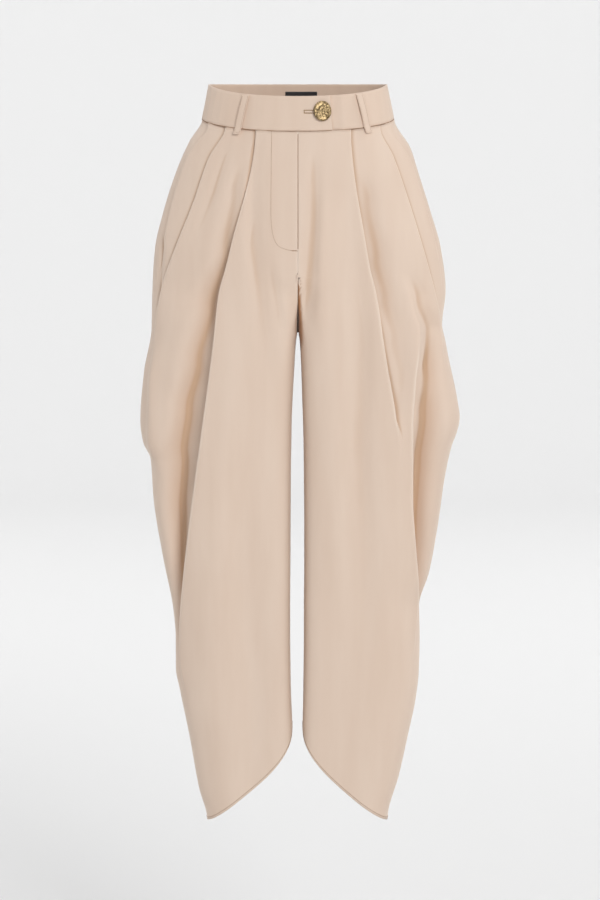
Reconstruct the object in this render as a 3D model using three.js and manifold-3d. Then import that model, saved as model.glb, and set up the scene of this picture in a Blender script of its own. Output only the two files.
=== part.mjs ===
// High-waisted trousers with deep waist pleats, draped hips and arched hems.
// Millimetres, +Z up, front towards -Y, the wearer's right leg on -X.
// The waist is held open; the origin is the middle of the waist at half the waistband's height.
import * as THREE from 'three';
import Module from 'manifold-3d';

const wasm = await Module();
wasm.setup();

// Cloth and seams
const CLOTH_WALL = 1.2;
const SEAM_GAP = 0.3;
const HALF_GAP = SEAM_GAP / 2;

// Waistband: an oval that widens downwards and dips at the front
const BAND_HEIGHT = 50;
const BAND_WALL = 2.4;
const BAND_TOP_BACK = 23;
const BAND_FRONT_DIP = 17;
const BAND_DIP_POWER = 1.5;
const BAND_TOP_HALF = { width: 130, depth: 88 };
const BAND_SEAM_HALF = { width: 140, depth: 92 };
const TAB_END_X = 48;
const UNDERLAP_END_X = 2;
const UNDERLAP_STEP = BAND_WALL + 0.4;
const UNDERLAP_RAMP = 14;

// The sections are superellipses: this exponent rounds them, 1 being a true ellipse
const SECTION_ROUND = 0.85;
const INSEAM_ROUND = 0.32;
const INNER_WALL_SHARE = 0.25;
const INNER_WALL_GROWTH = 0.35;
const SIDE_ROUND_FROM = 0.25;
const SIDE_ROUND_TO = 0.75;
const VALLEY_FROM = 0.02;
const CROTCH_Z = -345;
const FRONT_CROTCH = { start: -250, power: 2.4 };
const BACK_CROTCH = { start: -195, power: 2.2 };

// Hem: highest at the inseam, falling along an arch to a point at the side seam
const HEM_INSEAM_Z = -936;
const HEM_DROP = 142;
const HEM_POWER = 0.55;
const HEM_TIP_Z = HEM_INSEAM_Z - HEM_DROP;
const WAIST_ZONE_END = -115;
const HEM_ZONE_START = -875;

// Levels at which the panels have a section, from the waist seam to the hem point
const LEVELS = [
  -45, -62, -85, -115, -150, -190, -230, -265, -300, -325, CROTCH_Z, -370, -400, -435,
  -470, -500, -525, -565, -615, -670, -725, -775, -825, HEM_ZONE_START, -935, -1005, HEM_TIP_Z,
];

// Half depths of the whole form, shared by both legs
const DEPTH = table(['z', 'front', 'back'], [
  [0, 90, 90],
  [-45, 92, 92],
  [-120, 98, 105],
  [-200, 103, 115],
  [-290, 101, 115],
  [-345, 97, 111],
  [-450, 90, 102],
  [-600, 79, 87],
  [-750, 67, 71],
  [-900, 57, 57],
  [-1078, 46, 47],
]);

// Each leg: its outline seen from the front, and the front's folds, whose lips face the side seam.
// A fold's lip is its distance from the centre, rise is its step, and tuck is the cloth under it;
// a tuck below zero is a slope that wide, where the fold has opened out. Creases are soft ridges,
// or troughs where their height is below zero. Centre and side are how far they spread each way,
// and they lie beyond the given fold, counted from the centre; 0 is the whole panel.
const RIGHT_LEG = {
  mirror: -1,
  outline: table(['z', 'inner', 'outer'], [
    [-27, 0.6, 140],
    [-60, 0.6, 159],
    [-100, 0.6, 177],
    [-160, 0.6, 197],
    [-220, 0.6, 211],
    [-280, 0.6, 215],
    [-338, 0.8, 216.5],
    [-350, 2.8, 218],
    [-400, 6, 228],
    [-475, 9.5, 234],
    [-505, 10, 230],
    [-530, 10.5, 219],
    [-590, 11, 215],
    [-680, 11.5, 201],
    [-760, 12, 186],
    [-800, 12, 183],
    [-846, 11.5, 183],
    [-880, 11, 177],
    [-950, 8.5, 163],
    [-1030, 8, 149],
    [-1078, 8, 137],
  ]),
  folds: [
    table(['z', 'lip', 'rise', 'tuck'], [
      [-45, 60, 3.8, 18],
      [-215, 96, 5, 13],
      [-291, 113, 6, 10],
      [-368, 123, 6, 9],
      [-515, 142, 9, 7],
      [-638, 157, 9, 6],
      [-768, 170, 7, 3],
      [-830, 173, 3, -8],
      [-900, 160, 0, -14],
      [-1078, 120, 0, -14],
    ]),
    table(['z', 'lip', 'rise', 'tuck'], [
      [-45, 104, 3.8, 16],
      [-86, 126, 4, 12],
      [-149, 148, 4.5, 11],
      [-217, 175, 5, 9],
      [-270, 194, 5, 6],
      [-329, 206, 4, 1],
      [-400, 212, 0.5, -12],
      [-1078, 126, 0, -12],
    ]),
    table(['z', 'lip', 'rise', 'tuck'], [
      [-45, 134, 3.8, 8],
      [-87, 161, 3.6, 5],
      [-160, 184, 3.5, 4],
      [-218, 196, 3, 1],
      [-279, 204, 1, -8],
      [-330, 211, 0, -8],
      [-1078, 130, 0, -8],
    ]),
  ],
  creases: {
    front: [
      { beyond: 1, rows: table(['z', 'at', 'height', 'centre', 'side'], [
        [-70, 75, 0, 8, 8],
        [-130, 92, -4, 10, 10],
        [-215, 104, -8, 12, 14],
        [-300, 126, -15, 16, 22],
        [-380, 146, -20, 22, 24],
        [-450, 163, -24, 26, 22],
        [-520, 176, -27, 28, 20],
        [-600, 182, -27, 26, 17],
        [-680, 180, -20, 20, 14],
        [-760, 176, -8, 13, 10],
        [-820, 174, 0, 10, 8],
      ]) },
      { beyond: 1, rows: table(['z', 'at', 'height', 'centre', 'side'], [
        [-330, 200, 0, 12, 12],
        [-420, 212, 6, 12, 12],
        [-500, 214, 6, 12, 12],
        [-560, 205, 0, 12, 12],
      ]) },
      { beyond: 0, rows: table(['z', 'at', 'height', 'centre', 'side'], [
        [-46, 55, 0, 8, 6],
        [-75, 61, -3, 10, 7],
        [-120, 65, -4, 13, 8],
        [-194, 66, -5, 15, 9],
        [-254, 59, -5, 15, 10],
        [-314, 51, -4, 15, 12],
        [-375, 44, -2.5, 15, 15],
        [-455, 35, 0, 15, 15],
      ]) },
      { beyond: 0, rows: table(['z', 'at', 'height', 'centre', 'side'], [
        [-560, 80, 0, 20, 22],
        [-674, 77, -3, 22, 24],
        [-764, 71, -4, 22, 24],
        [-885, 67, -4.5, 20, 22],
        [-1006, 64, -3, 20, 20],
        [-1078, 62, -2, 20, 20],
      ]) },
    ],
    back: [
      { beyond: 0, rows: table(['z', 'at', 'height', 'centre', 'side'], [
        [-60, 70, 0, 26, 26],
        [-150, 80, -3, 28, 28],
        [-300, 98, -7, 30, 30],
        [-450, 116, -9, 30, 32],
        [-650, 118, -9, 30, 30],
        [-850, 100, -5, 26, 26],
        [-1000, 92, 0, 24, 24],
      ]) },
      { beyond: 0, rows: table(['z', 'at', 'height', 'centre', 'side'], [
        [-120, 150, 0, 16, 16],
        [-300, 178, 6, 20, 16],
        [-480, 192, 9, 24, 18],
        [-620, 176, 5, 22, 16],
        [-740, 160, 0, 18, 14],
      ]) },
    ],
  },
};

const LEFT_LEG = {
  mirror: 1,
  outline: table(['z', 'inner', 'outer'], [
    [-27, 0.6, 141],
    [-70, 0.6, 165],
    [-110, 0.6, 178],
    [-160, 0.6, 194],
    [-220, 0.6, 211],
    [-280, 0.6, 218],
    [-330, 0.6, 213],
    [-338, 0.8, 214],
    [-350, 2.6, 217],
    [-380, 4.5, 223],
    [-440, 6.5, 236],
    [-470, 7.5, 240],
    [-490, 8, 236],
    [-512, 8.5, 228],
    [-560, 9, 218],
    [-626, 9.5, 209],
    [-700, 9.5, 196],
    [-753, 9, 181],
    [-800, 9, 182],
    [-850, 8.5, 181],
    [-890, 8, 177],
    [-950, 7, 165],
    [-1010, 7, 152],
    [-1078, 7, 135],
  ]),
  folds: [
    table(['z', 'lip', 'rise', 'tuck'], [
      [-45, 75, 3.8, 18],
      [-215, 97, 6, 12],
      [-315, 116, 8, 8],
      [-389, 128, 8, 6],
      [-447, 139, 6, 2],
      [-494, 146, 3, -8],
      [-560, 138, 0, -14],
      [-1078, 90, 0, -14],
    ]),
    table(['z', 'lip', 'rise', 'tuck'], [
      [-45, 98, 0, -8],
      [-120, 125, 0, -8],
      [-217, 150, 0, -8],
      [-300, 166, 0, -8],
      [-350, 171, 1, -7],
      [-389, 170, 3, -3],
      [-424, 167, 6, 1],
      [-471, 164, 9, 4],
      [-583, 163, 10, 5],
      [-652, 167, 10, 5],
      [-738, 174, 6, 1],
      [-800, 172, 1.5, -8],
      [-860, 160, 0, -8],
      [-1078, 104, 0, -8],
    ]),
    table(['z', 'lip', 'rise', 'tuck'], [
      [-45, 118, 3.8, 16],
      [-86, 135, 4, 12],
      [-119, 147, 4.5, 11],
      [-217, 178, 5, 9],
      [-289, 199, 5, 6],
      [-330, 207, 4, 1],
      [-390, 214, 0.5, -8],
      [-480, 220, 0, -8],
      [-1078, 118, 0, -8],
    ]),
    table(['z', 'lip', 'rise', 'tuck'], [
      [-45, 137, 3.8, 8],
      [-91, 162, 3.6, 5],
      [-129, 176, 3.5, 4],
      [-218, 201, 3, 1],
      [-256, 208, 1, -8],
      [-300, 210, 0, -8],
      [-1078, 128, 0, -8],
    ]),
  ],
  creases: {
    front: [
      { beyond: 0, rows: table(['z', 'at', 'height', 'centre', 'side'], [
        [-110, 70, 0, 18, 14],
        [-172, 75, -3, 20, 15],
        [-255, 84, -6, 22, 16],
        [-335, 90, -7, 22, 17],
        [-416, 89, -7, 22, 18],
        [-497, 87, -7, 20, 18],
        [-560, 91, -6, 20, 18],
        [-650, 96, -4, 20, 18],
        [-760, 98, -2, 20, 18],
        [-860, 98, 0, 20, 18],
      ]) },
      { beyond: 1, rows: table(['z', 'at', 'height', 'centre', 'side'], [
        [-95, 90, 0, 10, 10],
        [-146, 99, -6, 12, 12],
        [-230, 113, -9, 13, 14],
        [-288, 126, -7, 13, 14],
        [-347, 140, -5, 12, 14],
        [-405, 151, -3, 12, 14],
        [-450, 156, 0, 12, 14],
      ]) },
      { beyond: 1, rows: table(['z', 'at', 'height', 'centre', 'side'], [
        [-240, 160, 0, 10, 12],
        [-288, 176, -6, 11, 14],
        [-336, 193, -9, 13, 15],
        [-380, 197, -8, 15, 15],
        [-430, 196, 0, 16, 15],
      ]) },
      { beyond: 2, rows: table(['z', 'at', 'height', 'centre', 'side'], [
        [-330, 196, 0, 14, 14],
        [-397, 194, -12, 17, 17],
        [-458, 189, -20, 18, 18],
        [-524, 185, -24, 18, 18],
        [-613, 180, -22, 17, 16],
        [-702, 179, -15, 13, 12],
        [-780, 178, 0, 10, 10],
      ]) },
    ],
    back: [
      { beyond: 0, rows: table(['z', 'at', 'height', 'centre', 'side'], [
        [-60, 74, 0, 26, 26],
        [-150, 84, -4, 28, 28],
        [-300, 96, -7, 30, 30],
        [-450, 110, -9, 30, 32],
        [-650, 112, -8, 30, 30],
        [-850, 98, -4, 26, 26],
        [-1000, 90, 0, 24, 24],
      ]) },
      { beyond: 0, rows: table(['z', 'at', 'height', 'centre', 'side'], [
        [-120, 152, 0, 16, 16],
        [-300, 180, 7, 20, 16],
        [-470, 198, 8, 24, 18],
        [-600, 174, 5, 22, 16],
        [-700, 160, 0, 18, 14],
      ]) },
    ],
  },
};

// Points across a front panel: from its inner edge to each fold, round the fold, and to the side
const INNER_STEPS = 9;
const BETWEEN_STEPS = 5;
const SIDE_STEPS = 5;
const FOLD_SHARE = [0, 0.2, 0.42, 0.5, 0.58, 0.8, 1];
const TUCK_SHARE = [0, 0, 0, 0.5, 1, 1, 1];
const TURN_SHARE = [0, 1, 0.2, 0, -0.2, -1, 0];
const LIP_ROUND = 0.45;
const CLOSED_FROM = -4;
const CLOSED_TO = 2;
const LIP_SPACING = 0.035;
const LAST_LIP = 0.965;
const OPENED_SHARE = 0.8;
const BEYOND_FROM = 0.3;
const BEYOND_TO = 0.7;
const FREE_FROM = 0.25;
const FREE_TO = 0.42;
const LIFT_TO = 0.25;
const BACK_STEPS = 15;

// Fly: a shield behind the left front with the closed zip on it
const SHIELD = { left: 22, right: -24, top: -31, bottom: -214, depth: 5.9, wall: 1.4 };
const ZIP_TAPE = { left: 13, right: -13, top: -47, bottom: -206, depth: 4.3, wall: 1 };
const SLIDER = { left: 4, right: -4, top: -49, bottom: -62, depth: 2.15, wall: 2.4 };

// Button on a shank through a buttonhole in the tab
const BUTTON = { x: 35, z: -16, radius: 13.2, stretch: 1.1, wall: 2.6, dish: 1.1, standOff: 0.8 };
const BUTTON_EDGE = { back: 1.2, rise: 0.7, rim: 0.9, round: 0.8 };
const BUTTON_DISH = { half: 0.7, full: 0.35 };
const SHANK_RADIUS = 1.4;
const BUTTONHOLE = { from: 9, to: 39, height: 3.4 };

// Belt loops: the distance of each from the centre line
const LOOP = { width: 10.5, wall: 1.4, top: 1.5, below: 8, bow: 2.6, leanFront: 7, steps: 12 };
const LOOP_BOW = { end: 0.91, power: 0.6 };
const LOOP_FOOT = { from: 0.8, off: 3.2 };
const LOOPS = [
  { name: 'belt_loop_front_right', x: -80, front: true },
  { name: 'belt_loop_front_left', x: 93, front: true },
  { name: 'belt_loop_back_right', x: -78, front: false },
  { name: 'belt_loop_back_left', x: 78, front: false },
  { name: 'belt_loop_back_centre', x: 0, front: false },
];

// Bare label inside the back of the waistband
const LABEL = { x: 5, width: 49, top: 12, bottom: -21, wall: 1 };

// Finishes
const CLOTH = { color: 0xdcc6b2, roughness: 0.72, metalness: 0 };
const LINING_SIDE = { color: 0xc4a78f, roughness: 0.8, metalness: 0 };
const DARK_LABEL = { color: 0x17171a, roughness: 0.7, metalness: 0 };
const OLD_GOLD = { color: 0xa98b55, roughness: 0.38, metalness: 1 };

function table(columns, rows) {
  return rows.map((row) => Object.fromEntries(columns.map((name, i) => [name, row[i]])));
}

function mix(a, b, t) {
  return a + (b - a) * t;
}

function clamp(value, low, high) {
  return Math.min(high, Math.max(low, value));
}

function smoothstep(low, high, value) {
  const t = clamp((value - low) / (high - low), 0, 1);
  return t * t * (3 - 2 * t);
}

// A column of a table at height z, as a smooth curve that never overshoots its rows
function columnAt(rows, name, z) {
  if (z >= rows[0].z) {
    return rows[0][name];
  }
  const last = rows.length - 1;
  if (z <= rows[last].z) {
    return rows[last][name];
  }
  let i = 0;
  while (rows[i + 1].z > z) {
    i += 1;
  }
  const slope = (k) => (rows[k + 1][name] - rows[k][name]) / (rows[k + 1].z - rows[k].z);
  const tangent = (k) => {
    if (k === 0 || k === last) {
      return 0;
    }
    const before = slope(k - 1);
    const after = slope(k);
    return before * after <= 0 ? 0 : (2 * before * after) / (before + after);
  };
  const span = rows[i + 1].z - rows[i].z;
  const t = (z - rows[i].z) / span;
  const t2 = t * t;
  const t3 = t2 * t;
  return (2 * t3 - 3 * t2 + 1) * rows[i][name]
    + (t3 - 2 * t2 + t) * span * tangent(i)
    + (3 * t2 - 2 * t3) * rows[i + 1][name]
    + (t3 - t2) * span * tangent(i + 1);
}

function roundPower(value, power = SECTION_ROUND) {
  return Math.sign(value) * Math.abs(value) ** power;
}

// How far the section has turned from half a hip oval (0) into a leg tube (1)
function legShare(z, crotch) {
  const fallen = clamp((crotch.start - z) / (crotch.start - CROTCH_Z), 0, 1);
  return Math.sin(fallen * Math.PI / 2) ** crotch.power;
}

// A point of a rounded oval of half sizes 1; a smaller power makes it squarer
function oval(turn, power = SECTION_ROUND) {
  const grade = 2 / power;
  const reach = (Math.abs(Math.cos(turn)) ** grade + Math.abs(Math.sin(turn)) ** grade) ** (-1 / grade);
  return { forward: Math.cos(turn) * reach, across: Math.sin(turn) * reach };
}

// A leg tube is squarer along its inseam than at its side
function legRound(share) {
  return mix(INSEAM_ROUND, SECTION_ROUND, smoothstep(SIDE_ROUND_FROM, SIDE_ROUND_TO, share));
}

function legAcross(share) {
  return (1 - oval(share * Math.PI, legRound(share)).forward) / 2;
}

// A point of the plain section: share 0 is the centre seam or inseam, 1 the side seam
function sectionPoint(leg, face, share, z, depth) {
  const inner = columnAt(leg.outline, 'inner', z);
  const outer = columnAt(leg.outline, 'outer', z);
  const turned = legShare(z, face.crotch);
  const wall = INNER_WALL_SHARE * turned ** INNER_WALL_GROWTH;
  const hip = oval(Math.max(0, share - wall) / (1 - wall) * Math.PI / 2);
  const seamX = CLOTH_WALL / 2 * Math.min(1, turned / VALLEY_FROM);
  const hipX = seamX + (outer - seamX) * hip.across;
  const hipY = depth * hip.forward;
  const legX = mix(inner, outer, legAcross(share));
  const legY = depth * oval(share * Math.PI, legRound(share)).across;
  return new THREE.Vector2(mix(hipX, legX, turned), face.side * mix(hipY, legY, turned));
}

const FRONT = { side: -1, crotch: FRONT_CROTCH, column: 'front' };
const BACK = { side: 1, crotch: BACK_CROTCH, column: 'back' };
const PROBE = 0.002;
const HALVINGS = 24;

function sectionTangent(leg, face, share, z, depth) {
  const low = sectionPoint(leg, face, Math.max(0, share - PROBE), z, depth);
  const high = sectionPoint(leg, face, Math.min(1, share + PROBE), z, depth);
  const width = Math.min(1, share + PROBE) - Math.max(0, share - PROBE);
  return high.sub(low).divideScalar(width);
}

// The share at which the plain section lies a given distance from the centre line
function shareAtX(leg, face, x, z, depth) {
  let low = 0;
  let high = 1;
  for (let i = 0; i < HALVINGS; i += 1) {
    const middle = (low + high) / 2;
    if (sectionPoint(leg, face, middle, z, depth).x < x) {
      low = middle;
    } else {
      high = middle;
    }
  }
  return (low + high) / 2;
}

// Height of a panel point: level by level, but along the waist seam and the hem at its ends
function heightAt(level, share, face) {
  if (level > WAIST_ZONE_END) {
    const t = (LEVELS[0] - level) / (LEVELS[0] - WAIST_ZONE_END);
    return mix(waistSeamZ(share, face) - SEAM_GAP, WAIST_ZONE_END, t);
  }
  if (level < HEM_ZONE_START) {
    const t = (HEM_ZONE_START - level) / (HEM_ZONE_START - HEM_TIP_Z);
    return mix(HEM_ZONE_START, HEM_INSEAM_Z - HEM_DROP * legAcross(share) ** HEM_POWER, t);
  }
  return level;
}

function frontDip(frontness) {
  return BAND_FRONT_DIP * Math.max(0, frontness) ** BAND_DIP_POWER;
}

function waistSeamZ(share, face) {
  const frontness = face.side < 0 ? oval(share * Math.PI / 2).forward : 0;
  return BAND_TOP_BACK - BAND_HEIGHT - frontDip(frontness);
}

// The folds of a front at one level, from the centre outwards, in shares of the section
function foldsAt(leg, level, baseDepth) {
  let previous = 0;
  return leg.folds.map((rows, i) => {
    const lip = shareAtX(leg, FRONT, columnAt(rows, 'lip', level), level, baseDepth);
    const latest = LAST_LIP - (leg.folds.length - 1 - i) * LIP_SPACING;
    const share = clamp(lip, previous + LIP_SPACING, latest);
    previous = share;
    const speed = sectionTangent(leg, FRONT, share, level, baseDepth).length();
    return {
      share,
      rise: columnAt(rows, 'rise', level),
      tuck: Math.max(columnAt(rows, 'tuck', level) / speed, -OPENED_SHARE * LIP_SPACING),
      closed: smoothstep(CLOSED_FROM, CLOSED_TO, columnAt(rows, 'tuck', level)),
      speed,
    };
  });
}

// The front's path at one level: share of the section, height above it and folds passed
function frontPath(folds) {
  const path = [];
  let height = folds.reduce((sum, fold) => sum + fold.rise, 0);
  let from = 0;
  folds.forEach((fold, i) => {
    const steps = i === 0 ? INNER_STEPS : BETWEEN_STEPS;
    for (let k = i === 0 ? 0 : 1; k < steps; k += 1) {
      path.push({ share: mix(from, fold.share, k / steps), height, passed: i });
    }
    const turn = fold.closed * LIP_ROUND * fold.rise / fold.speed;
    FOLD_SHARE.forEach((drop, k) => {
      const even = k / (FOLD_SHARE.length - 1);
      const back = mix(even, TUCK_SHARE[k], fold.closed);
      path.push({
        share: fold.share - fold.tuck * back + turn * TURN_SHARE[k],
        height: height - fold.rise * mix(smoothstep(0, 1, even), drop, fold.closed),
        passed: i + smoothstep(BEYOND_FROM, BEYOND_TO, even),
      });
    });
    height -= fold.rise;
    from = fold.share - fold.tuck;
  });
  for (let k = 1; k <= SIDE_STEPS; k += 1) {
    path.push({ share: mix(from, 1, k / SIDE_STEPS), height, passed: folds.length });
  }
  return path;
}

// A point above the plain section, held on the centre plane and the seams at its ends
function raisedPoint(leg, face, share, height, z, depth) {
  const base = sectionPoint(leg, face, share, z, depth);
  const tangent = sectionTangent(leg, face, share, z, depth).normalize();
  const outward = new THREE.Vector2(-face.side * tangent.y, face.side * tangent.x);
  const free = smoothstep(FREE_FROM, FREE_TO, share);
  const direction = new THREE.Vector2(mix(0, outward.x, free), mix(face.side, outward.y, free));
  const turned = legShare(z, face.crotch);
  const lift = height * mix(1, smoothstep(0, LIFT_TO, share), turned);
  base.addScaledVector(direction.normalize(), lift);
  return new THREE.Vector3(leg.mirror * (base.x + HALF_GAP), base.y + face.side * HALF_GAP, z);
}

// The creases of a panel at one level, placed in shares of the section
function creasesAt(leg, face, level, baseDepth) {
  return leg.creases[face.column].map(({ beyond, rows }) => {
    const share = shareAtX(leg, face, columnAt(rows, 'at', level), level, baseDepth);
    return {
      beyond,
      share,
      speed: sectionTangent(leg, face, share, level, baseDepth).length(),
      height: columnAt(rows, 'height', level),
      centre: columnAt(rows, 'centre', level),
      side: columnAt(rows, 'side', level),
    };
  });
}

function creaseHeight(creases, share, passed) {
  return creases.reduce((sum, crease) => {
    const away = (share - crease.share) * crease.speed;
    const width = away < 0 ? crease.centre : crease.side;
    const here = clamp(passed - crease.beyond + 1, 0, 1);
    return sum + here * crease.height * Math.exp(-((away / width) ** 2));
  }, 0);
}

function frontGrid(leg) {
  return LEVELS.map((level) => {
    const total = leg.folds.reduce((sum, rows) => sum + columnAt(rows, 'rise', level), 0);
    const baseDepth = columnAt(DEPTH, 'front', level) - total;
    const creases = creasesAt(leg, FRONT, level, baseDepth);
    return frontPath(foldsAt(leg, level, baseDepth)).map(({ share, height, passed }) => {
      const z = heightAt(level, share, FRONT);
      const depth = columnAt(DEPTH, 'front', z) - total;
      const raised = height + creaseHeight(creases, share, passed);
      return raisedPoint(leg, FRONT, share, raised, z, depth);
    });
  });
}

function backGrid(leg) {
  return LEVELS.map((level) => {
    const creases = creasesAt(leg, BACK, level, columnAt(DEPTH, 'back', level));
    return Array.from({ length: BACK_STEPS }, (_, k) => {
      const share = k / (BACK_STEPS - 1);
      const z = heightAt(level, share, BACK);
      const height = creaseHeight(creases, share, 0);
      return raisedPoint(leg, BACK, share, height, z, columnAt(DEPTH, 'back', z));
    });
  });
}

// A row of points moved sideways in its own level, mitred at the corners
function offsetRow(row, distance) {
  const edgeNormal = (a, b) => new THREE.Vector2(b.y - a.y, a.x - b.x).normalize();
  return row.map((point, i) => {
    const before = i > 0 ? edgeNormal(row[i - 1], point) : edgeNormal(point, row[i + 1]);
    const after = i < row.length - 1 ? edgeNormal(point, row[i + 1]) : before;
    const normal = before.clone().add(after).normalize();
    const mitre = Math.min(1.5, 1 / Math.max(0.2, normal.dot(after)));
    return new THREE.Vector3(
      point.x + normal.x * distance * mitre,
      point.y + normal.y * distance * mitre,
      point.z,
    );
  });
}

// A closed wall round a grid of points, with its faces pointing out
function wallGeometry(grid, wall) {
  const rows = grid.length;
  const columns = grid[0].length;
  const faces = [grid.map((row) => offsetRow(row, wall / 2)), grid.map((row) => offsetRow(row, -wall / 2))];
  return closedGrid(faces, rows, columns);
}

function closedGrid(faces, rows, columns) {
  const positions = faces.flat(2).flatMap((point) => [point.x, point.y, point.z]);
  const at = (face, row, column) => (face * rows + row) * columns + column;
  const triangles = [];
  const quad = (a, b, c, d) => triangles.push(a, b, c, a, c, d);
  for (let r = 0; r < rows - 1; r += 1) {
    for (let c = 0; c < columns - 1; c += 1) {
      quad(at(0, r, c), at(0, r + 1, c), at(0, r + 1, c + 1), at(0, r, c + 1));
      triangles.push(at(1, r, c), at(1, r + 1, c + 1), at(1, r + 1, c));
      triangles.push(at(1, r, c), at(1, r, c + 1), at(1, r + 1, c + 1));
    }
    quad(at(0, r, 0), at(1, r, 0), at(1, r + 1, 0), at(0, r + 1, 0));
    quad(at(1, r, columns - 1), at(0, r, columns - 1), at(0, r + 1, columns - 1), at(1, r + 1, columns - 1));
  }
  for (let c = 0; c < columns - 1; c += 1) {
    quad(at(0, 0, c), at(0, 0, c + 1), at(1, 0, c + 1), at(1, 0, c));
    quad(at(0, rows - 1, c), at(1, rows - 1, c), at(1, rows - 1, c + 1), at(0, rows - 1, c + 1));
  }
  const geometry = new THREE.BufferGeometry();
  geometry.setAttribute('position', new THREE.Float32BufferAttribute(positions, 3));
  geometry.setIndex(triangles);
  return facingOut(geometry);
}

function facingOut(geometry) {
  const position = geometry.getAttribute('position');
  const index = geometry.getIndex().array;
  const [a, b, c] = [new THREE.Vector3(), new THREE.Vector3(), new THREE.Vector3()];
  let volume = 0;
  for (let i = 0; i < index.length; i += 3) {
    a.fromBufferAttribute(position, index[i]);
    b.fromBufferAttribute(position, index[i + 1]);
    c.fromBufferAttribute(position, index[i + 2]);
    volume += a.dot(b.cross(c));
  }
  if (volume < 0) {
    const flipped = Array.from(index);
    for (let i = 0; i < flipped.length; i += 3) {
      [flipped[i + 1], flipped[i + 2]] = [flipped[i + 2], flipped[i + 1]];
    }
    geometry.setIndex(flipped);
  }
  return geometry;
}

// A point on the middle of the waistband: angle 0 is the front, down runs from 0 to 1
function bandPoint(angle, down, inset) {
  const halfWidth = mix(BAND_TOP_HALF.width, BAND_SEAM_HALF.width, down) - inset;
  const halfDepth = mix(BAND_TOP_HALF.depth, BAND_SEAM_HALF.depth, down) - inset;
  const frontness = roundPower(Math.cos(angle));
  return new THREE.Vector3(
    halfWidth * roundPower(Math.sin(angle)),
    -halfDepth * frontness,
    BAND_TOP_BACK - frontDip(frontness) - BAND_HEIGHT * down,
  );
}

// The angle at which the front of the band is a given distance from the centre line
function bandAngle(x) {
  const halfWidth = (BAND_TOP_HALF.width + BAND_SEAM_HALF.width) / 2;
  return Math.sign(x) * Math.asin((Math.abs(x) / halfWidth) ** (1 / SECTION_ROUND));
}

function bandGeometry(from, to, steps, insetAt) {
  const grid = [0, 0.5, 1].map((down) => Array.from({ length: steps + 1 }, (_, k) => {
    const angle = mix(from, to, k / steps);
    const point = bandPoint(angle, down, 0);
    return bandPoint(angle, down, insetAt(point.x));
  }));
  return wallGeometry(grid, BAND_WALL);
}

// The left band steps behind the tab; the rest of the band keeps its place
function underlapInset(x) {
  return UNDERLAP_STEP * (1 - smoothstep(TAB_END_X + 3, TAB_END_X + 3 + UNDERLAP_RAMP, x));
}

function solidOf(geometry) {
  return new wasm.Manifold(new wasm.Mesh({
    numProp: 3,
    vertProperties: new Float32Array(geometry.getAttribute('position').array),
    triVerts: new Uint32Array(geometry.getIndex().array),
  }));
}

function geometryOf(solid) {
  const mesh = solid.getMesh();
  const geometry = new THREE.BufferGeometry();
  geometry.setAttribute('position', new THREE.BufferAttribute(mesh.vertProperties, 3));
  geometry.setIndex(new THREE.BufferAttribute(mesh.triVerts, 1));
  return geometry;
}

function boxBetween(low, high) {
  const box = new THREE.BoxGeometry(high.x - low.x, high.y - low.y, high.z - low.z);
  box.translate((low.x + high.x) / 2, (low.y + high.y) / 2, (low.z + high.z) / 2);
  return weldedCorners(box);
}

function weldedCorners(geometry) {
  const position = geometry.getAttribute('position');
  const places = new Map();
  const points = [];
  const remap = Array.from({ length: position.count }, (_, i) => {
    const corner = new THREE.Vector3().fromBufferAttribute(position, i);
    const key = corner.toArray().map((value) => value.toFixed(4)).join();
    if (!places.has(key)) {
      places.set(key, points.length / 3);
      points.push(corner.x, corner.y, corner.z);
    }
    return places.get(key);
  });
  const welded = new THREE.BufferGeometry();
  welded.setAttribute('position', new THREE.Float32BufferAttribute(points, 3));
  const index = Array.from(geometry.getIndex().array, (i) => remap[i]);
  const kept = [];
  for (let i = 0; i < index.length; i += 3) {
    const [a, b, c] = index.slice(i, i + 3);
    if (a !== b && b !== c && c !== a) {
      kept.push(a, b, c);
    }
  }
  welded.setIndex(kept);
  return welded;
}

function tabGeometry() {
  const band = bandGeometry(-Math.PI / 2 + seamAngle(), bandAngle(TAB_END_X), 20, () => 0);
  const slot = boxBetween(
    new THREE.Vector3(BUTTONHOLE.from, -BAND_SEAM_HALF.depth - 5, BUTTON.z - BUTTONHOLE.height / 2),
    new THREE.Vector3(BUTTONHOLE.to, -BAND_TOP_HALF.depth + 15, BUTTON.z + BUTTONHOLE.height / 2),
  );
  return geometryOf(solidOf(band).subtract(solidOf(slot)));
}

// Half of a seam gap at the side seams, as an angle round the band
function seamAngle() {
  return HALF_GAP / BAND_TOP_HALF.depth;
}

// Depth of the middle of the front wall at a place on the fly
function flyY(x, z) {
  const depth = columnAt(DEPTH, 'front', z);
  const outer = columnAt(LEFT_LEG.outline, 'outer', z);
  const power = 2 / SECTION_ROUND;
  const y = -depth * (1 - Math.abs(x / outer) ** power) ** (1 / power);
  return y * (1 - legShare(z, FRONT_CROTCH)) - HALF_GAP;
}

function flyGeometry(size, steps) {
  const grid = Array.from({ length: steps.down + 1 }, (_, r) => {
    const z = mix(size.top, size.bottom, r / steps.down);
    return Array.from({ length: steps.across + 1 }, (_, c) => {
      const x = mix(size.right, size.left, c / steps.across);
      return new THREE.Vector3(x, flyY(x, z) + size.depth, z);
    });
  });
  return wallGeometry(grid, size.wall);
}

// The outward direction and the place of the band's outer face at an angle
function bandFrame(angle, down) {
  const place = bandPoint(angle, down, 0);
  const ahead = bandPoint(angle + PROBE, down, 0);
  const outward = new THREE.Vector3(ahead.y - place.y, place.x - ahead.x, 0).normalize();
  return { place, outward, along: new THREE.Vector3(-outward.y, outward.x, 0) };
}

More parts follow.
